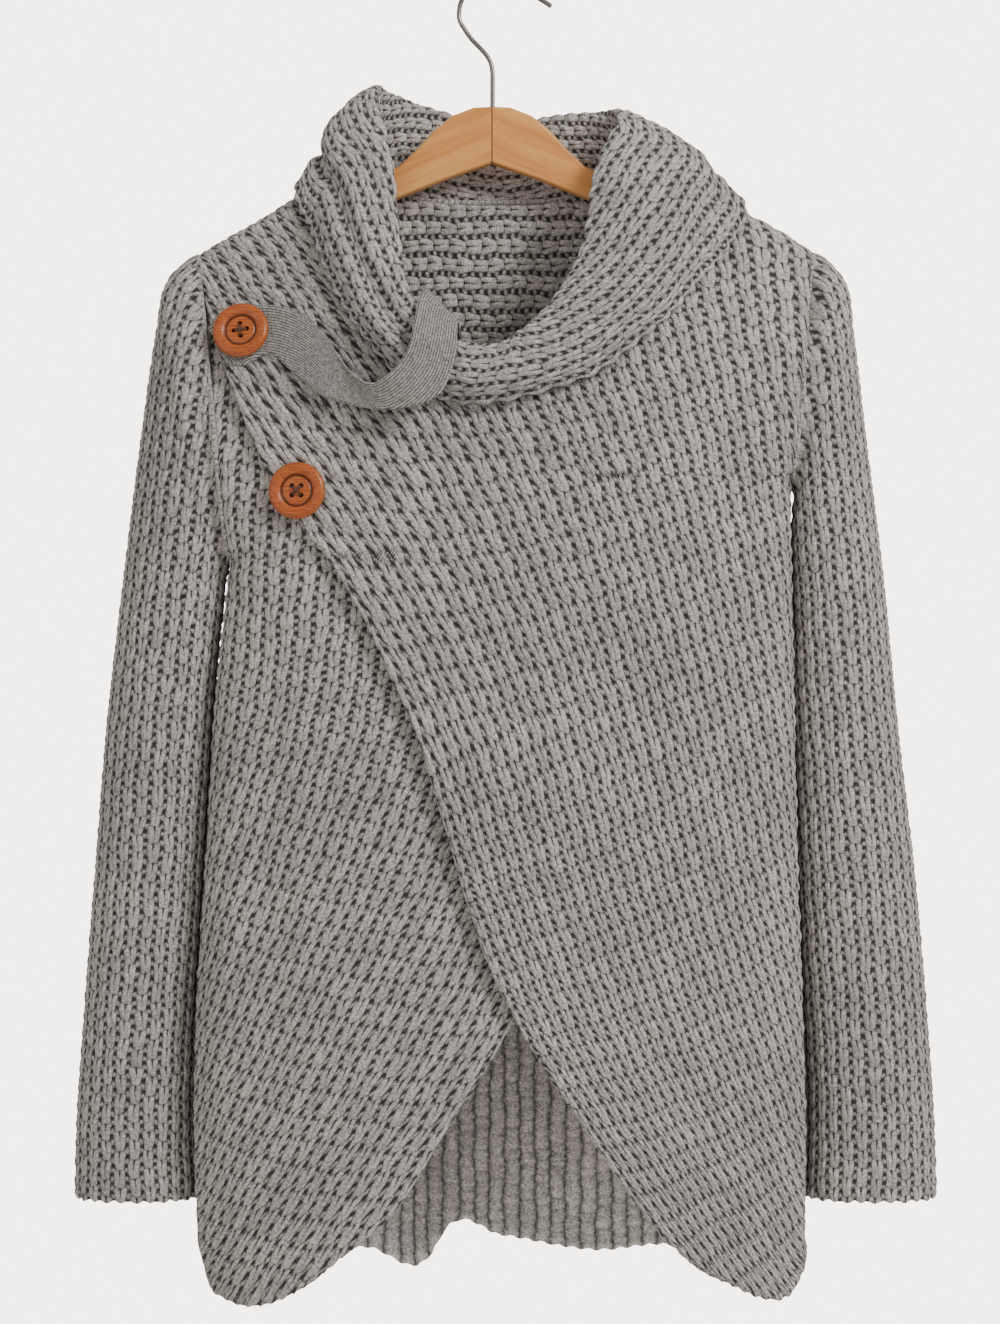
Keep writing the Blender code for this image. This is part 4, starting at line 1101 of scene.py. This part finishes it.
# Materials
class Nodes:
    """Short names for the nodes of one material."""

    def __init__(self, name, roughness):
        self.material = bpy.data.materials.new(name)
        self.material.use_nodes = True
        self.tree = self.material.node_tree
        self.shader = self.tree.nodes["Principled BSDF"]
        self.give("Roughness", roughness)

    def put(self, socket, value):
        if isinstance(value, (int, float, tuple)):
            socket.default_value = value
        else:
            self.tree.links.new(value, socket)

    def give(self, name, value):
        """Sets one of the shader's inputs."""
        self.put(self.shader.inputs[name], value)

    def add(self, kind, **inputs):
        """A new node, with values or links for its named inputs."""
        node = self.tree.nodes.new("ShaderNode" + kind)
        for name, value in inputs.items():
            self.put(node.inputs[name.replace("_", " ")], value)
        return node

    def sum(self, kind, *values):
        node = self.add("Math")
        node.operation = kind
        for socket, value in zip(node.inputs, values):
            self.put(socket, value)
        return node.outputs[0]

    def times(self, first, second):
        return self.sum("MULTIPLY", first, second)

    def plus(self, first, second):
        return self.sum("ADD", first, second)

    def minus(self, first, second):
        return self.sum("SUBTRACT", first, second)

    def line(self, value, slope, start):
        return self.sum("MULTIPLY_ADD", value, slope, start)

    def cosine(self, value, factor):
        return self.sum("COSINE", self.times(value, factor))

    def apart(self, vector):
        """The three numbers of a vector."""
        node = self.add("SeparateXYZ")
        self.put(node.inputs[0], vector)
        return node.outputs

    def attribute(self, name):
        """The three numbers that each point keeps under a name."""
        read = self.add("Attribute")
        read.attribute_name = name
        return self.apart(read.outputs["Vector"])

    def place(self):
        """Place on the object in metres."""
        return self.add("TexCoord").outputs["Object"]

    def vector(self, x, y, z):
        return self.add("CombineXYZ", X=x, Y=y, Z=z).outputs[0]

    def noise(self, at, scale, detail, roughness=0.5):
        node = self.add("TexNoise", Vector=at, Scale=scale, Detail=detail, Roughness=roughness)
        return node.outputs["Fac"]

    def ramp(self, value, stops):
        node = self.add("ValToRGB", Fac=value)
        marks = node.color_ramp.elements
        while len(marks) < len(stops):
            marks.new(0.5)
        for mark, (at, colour) in zip(marks, stops):
            mark.position = at
            mark.color = (*colour, 1)
        return node.outputs[0]

    def blend(self, kind, share, first, second):
        node = self.add("Mix", Factor=share)
        node.data_type = "RGBA"
        node.blend_type = kind
        for socket, value in ((node.inputs[6], first), (node.inputs[7], second)):
            self.put(socket, (*value, 1) if isinstance(value, tuple) else value)
        return node.outputs[2]

    def bump(self, height, distance, strength):
        node = self.add("Bump", Strength=strength, Distance=distance, Height=height)
        self.give("Normal", node.outputs[0])

    def between(self, value, low, high):
        """Goes from 0 to 1 between two values, with level ends."""
        node = self.add("MapRange", Value=value, From_Min=low, From_Max=high)
        node.interpolation_type = "SMOOTHSTEP"
        return node.outputs[0]


def knit_material(name, light, groove_shade, jersey, depth):
    """Wool yarn in stitches: two plied legs that meet below, in ribs set half a stitch apart."""
    n = Nodes(name, 0.95)
    wale, course, plain = n.attribute("stitch")
    where = n.place()
    rib = n.sum("ROUND", wale)
    aside = n.sum("ABSOLUTE", n.minus(wale, rib))
    course = n.plus(course, n.times(rib, 0.0 if jersey else 0.5))
    stitch = n.sum("ROUND", course)
    along = n.minus(course, stitch)
    # The two legs lean together towards the foot of the stitch
    leg_line = n.line(n.minus(0.5, along), 0.12, 0.12)
    across = n.sum("DIVIDE", n.minus(aside, leg_line), 0.20)
    leg = n.sum("SQRT", n.sum("MAXIMUM", n.minus(1.0, n.times(across, across)), 0.0))
    crown = n.sum("MAXIMUM", n.cosine(along, math.pi), 0.0)
    crown = n.line(n.sum("POWER", crown, 0.6), 0.6, 0.4)
    # Bars of yarn bridge the groove between two ribs
    beside = n.sum("DIVIDE", n.minus(0.5, aside), 0.2)
    beside = n.sum("MAXIMUM", n.minus(1.0, n.times(beside, beside)), 0.0)
    bars = n.line(n.cosine(along, 4 * math.pi), 0.5, 0.5)
    bridge = n.times(n.times(beside, bars), 0.0 if jersey else 0.62)
    height = n.sum("MAXIMUM", n.times(leg, crown), bridge)
    # The plain ribs inside the back are round, with faint links
    links = n.line(n.cosine(along, 2 * math.pi), 0.14, 0.8)
    rib_height = n.times(n.cosine(aside, 2.6), links)
    height = n.plus(height, n.times(plain, n.minus(rib_height, height)))
    twist = n.plus(n.times(along, 40.0), n.times(across, 2.4))
    height = n.plus(height, n.times(n.sum("SINE", twist), 0.0 if jersey else 0.05))
    tuft = n.noise(where, 420.0, 2.0, 0.6)
    height = n.plus(height, n.times(n.minus(tuft, 0.5), 0.55))
    relief = n.plus(height, n.times(n.noise(where, 1300.0, 3.0, 0.7), 0.3))
    # Grooves are painted darker as painted shade, fibres are marled, and stitches and areas differ a
    # little in tone
    colour = n.blend("MIX", n.between(height, 0.0, 0.8), groove_shade, light)
    heather = n.noise(where, 620.0, 3.0, 0.7)
    heather = n.ramp(heather, ((0.37, (0.56, 0.55, 0.55)), (0.63, (1.46, 1.44, 1.42))))
    colour = n.blend("MULTIPLY", 0.95, colour, heather)
    dice = n.add("TexWhiteNoise")
    dice.noise_dimensions = "2D"
    n.put(dice.inputs["Vector"], n.vector(rib, stitch, 0.0))
    tone = n.ramp(dice.outputs["Value"], ((0.0, (0.86, 0.86, 0.865)), (1.0, (1.1, 1.095, 1.09))))
    colour = n.blend("MULTIPLY", 0.0 if jersey else 1.0, colour, tone)
    cloud = n.ramp(n.noise(where, 9.0, 2.0), ((0.3, (0.87, 0.87, 0.88)), (0.7, (1.07, 1.065, 1.06))))
    colour = n.blend("MULTIPLY", 1.0, colour, cloud)
    # Painted light: where the plain ribs inside the back lie, the colour is painted 1.4 times lighter,
    # standing in for light that reaches the inside
    n.give("Base Color", n.blend("MULTIPLY", plain, colour, (1.4, 1.4, 1.42)))
    n.give("Sheen Weight", 0.15)
    n.give("Sheen Roughness", 0.6)
    n.give("Specular IOR Level", 0.2)
    n.bump(relief, depth, 0.9)
    return n.material


def button_material(name):
    """Lacquered wood: fine grain across the face, darker in the turned groove and worn at the rim."""
    n = Nodes(name, 0.34)
    x, y, z = n.attribute("turned")
    radius = n.sum("SQRT", n.plus(n.times(x, x), n.times(y, y)))
    grain = n.noise(n.vector(n.times(x, 0.09), n.times(y, 1.1), z), 1.0, 4.0, 0.6)
    stops = ((0.28, (0.18, 0.033, 0.005)), (0.5, (0.43, 0.095, 0.012)), (0.75, (0.60, 0.155, 0.024)))
    colour = n.ramp(grain, stops)
    groove = n.between(n.sum("ABSOLUTE", n.minus(radius, 9.8)), 0.2, 1.1)
    colour = n.blend("MIX", groove, (0.07, 0.012, 0.003), colour)
    worn = n.times(n.between(radius, 16.2, 18.2), 0.35)
    n.give("Base Color", n.blend("MIX", worn, colour, (0.40, 0.090, 0.013)))
    n.give("Coat Weight", 0.2)
    n.give("Coat Roughness", 0.22)
    n.give("Roughness", n.line(grain, 0.18, 0.28))
    n.bump(grain, 0.0002, 0.5)
    return n.material


def beech_material(name):
    """Beech with its grain along each arm, short dark flecks and the glued joint in the middle."""
    n = Nodes(name, 0.4)
    x, y, z = n.apart(n.place())
    out = n.sum("ABSOLUTE", x)
    along = n.minus(n.times(out, 0.914), n.times(z, 0.405))
    across = n.plus(n.times(out, 0.405), n.times(z, 0.914))
    deep = n.plus(n.times(y, 90.0), n.times(n.sum("SIGN", x), 3.0))
    grain = n.noise(n.vector(n.times(along, 9.0), n.times(across, 130.0), deep), 1.0, 5.0, 0.6)
    stops = ((0.25, (0.53, 0.18, 0.036)), (0.5, (0.76, 0.32, 0.078)), (0.78, (0.88, 0.44, 0.13)))
    colour = n.ramp(grain, stops)
    fleck = n.vector(n.times(along, 260.0), n.times(across, 1700.0), n.times(y, 1700.0))
    fleck = n.noise(fleck, 1.0, 1.0)
    colour = n.blend("MIX", n.times(n.between(fleck, 0.66, 0.74), 0.45), colour, (0.33, 0.12, 0.035))
    joint = n.between(out, 0.0002, 0.0007)
    n.give("Base Color", n.blend("MIX", joint, (0.16, 0.06, 0.02), colour))
    n.give("Roughness", n.line(grain, 0.15, 0.3))
    n.give("Coat Weight", 0.25)
    n.give("Coat Roughness", 0.3)
    n.bump(n.minus(grain, n.times(fleck, 0.4)), 0.0003, 0.4)
    return n.material


def steel_material(name):
    """Drawn wire: fine lines along it, faintly uneven in gloss."""
    n = Nodes(name, 0.3)
    lines = n.noise(n.place(), 900.0, 3.0, 0.6)
    n.give("Base Color", n.ramp(lines, ((0.3, (0.16, 0.155, 0.15)), (0.7, (0.30, 0.295, 0.29)))))
    n.give("Metallic", 1.0)
    n.give("Roughness", n.line(lines, 0.2, 0.18))
    n.bump(lines, 0.0001, 0.3)
    return n.material


def thread_material(name):
    """Dark brown sewing thread, twisted."""
    n = Nodes(name, 0.8)
    twist = n.noise(n.place(), 2600.0, 2.0)
    n.give("Base Color", n.ramp(twist, ((0.3, (0.05, 0.022, 0.012)), (0.7, (0.16, 0.075, 0.04)))))
    n.bump(twist, 0.0002, 0.8)
    return n.material


# Setting
def make_stage():
    """A pale floor below the object and soft studio light."""
    turn = even_turns(64)
    points = np.stack([1.4 * np.cos(turn), 1.4 * np.sin(turn), np.full(64, FLOOR_Z)], axis=-1)
    mesh = bpy.data.meshes.new("floor")
    mesh.from_pydata(points.tolist(), [], [list(range(64))])
    paint = Nodes("pale_floor", 0.9)
    speck = paint.noise(paint.place(), 30.0, 3.0)
    paint.give("Base Color", paint.ramp(speck, ((0.3, (0.86, 0.845, 0.825)), (0.7, (0.91, 0.895, 0.875)))))
    mesh.materials.append(paint.material)
    add_object("floor", mesh)
    world = bpy.data.worlds.new("studio")
    world.use_nodes = True
    tree = world.node_tree
    back = tree.nodes["Background"]
    back.inputs["Color"].default_value = (*WORLD_COLOUR, 1)
    seen = tree.nodes.new("ShaderNodeLightPath")
    level = tree.nodes.new("ShaderNodeMapRange")
    level.inputs["To Min"].default_value = WORLD_LIGHT
    level.inputs["To Max"].default_value = WALL_LIGHT
    tree.links.new(seen.outputs["Is Camera Ray"], level.inputs["Value"])
    tree.links.new(level.outputs["Result"], back.inputs["Strength"])
    bpy.context.scene.world = world
    for name, place, size, power, colour in LAMPS:
        lamp = bpy.data.lights.new(name, "AREA")
        lamp.shape = "DISK"
        lamp.size = size
        lamp.energy = power
        lamp.color = colour
        obj = add_object(name, lamp)
        obj.location = place
        obj.rotation_euler = (Vector(LAMP_AIM) - Vector(place)).to_track_quat("-Z", "Y").to_euler()


def make_camera():
    """Level with the middle of the picture, straight in front."""
    lens = bpy.data.cameras.new("camera")
    lens.sensor_width = SENSOR
    lens.lens = SENSOR * CAMERA_DISTANCE / PICTURE_HEIGHT
    camera = add_object("camera", lens)
    camera.location = (PICTURE_CENTRE[0], -CAMERA_DISTANCE, PICTURE_CENTRE[1])
    camera.rotation_euler = (math.radians(90), 0, 0)
    bpy.context.scene.camera = camera


def main():
    # The second colour of each knit is the painted shade at the bottom of its grooves
    body_knit = knit_material("grey_rib_knit", (0.50, 0.48, 0.46), (0.032, 0.030, 0.029), 0, 0.0016)
    collar_knit = knit_material("grey_collar_knit", (0.48, 0.465, 0.45), (0.030, 0.029, 0.029), 0, 0.0016)
    jersey = knit_material("grey_jersey", (0.48, 0.465, 0.44), (0.08, 0.076, 0.072), 1, 0.0006)
    button_wood = button_material("brown_button_wood")
    thread = thread_material("brown_thread")
    make_stage()
    make_camera()

    back = make_panel("back_knit", -1, NECK_BACK, BACK_HEM, BACK_GRID, False, None, body_knit)
    over = make_panel("over_knit", 1, NECK_FRONT, OVER_EDGE, OVER_GRID, False, OVER_WALES, body_knit)
    under = make_panel("under_knit", 1, NECK_FRONT, UNDER_EDGE, UNDER_GRID, True, UNDER_WALES, body_knit)
    left = make_sleeve("sleeve_left_knit", -1, SLEEVE_LEFT, body_knit)
    right = make_sleeve("sleeve_right_knit", 1, SLEEVE_RIGHT, body_knit)
    collar = make_collar("collar_knit", collar_knit)
    strap = make_strap("strap_jersey", jersey)
    nodes = ("back_panel", "front_over", "front_under", "sleeve_left", "sleeve_right", "collar", "strap")
    for piece, node in zip((back, over, under, left, right, collar, strap), nodes):
        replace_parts(piece, node)
    make_neck_seam("seam_neck", collar_knit)
    make_armhole_seam("seam_left", -1, body_knit)
    make_armhole_seam("seam_right", 1, body_knit)
    for name, place, stack, turn in BUTTONS:
        placed = make_button(f"{name}_turned", name, place, stack, turn, button_wood)
        make_thread(f"{name}_thread", placed, turn, thread)
    make_hanger("hanger_bar", beech_material("beech"))
    make_hook("hook_wire", steel_material("bright_steel"))


main()
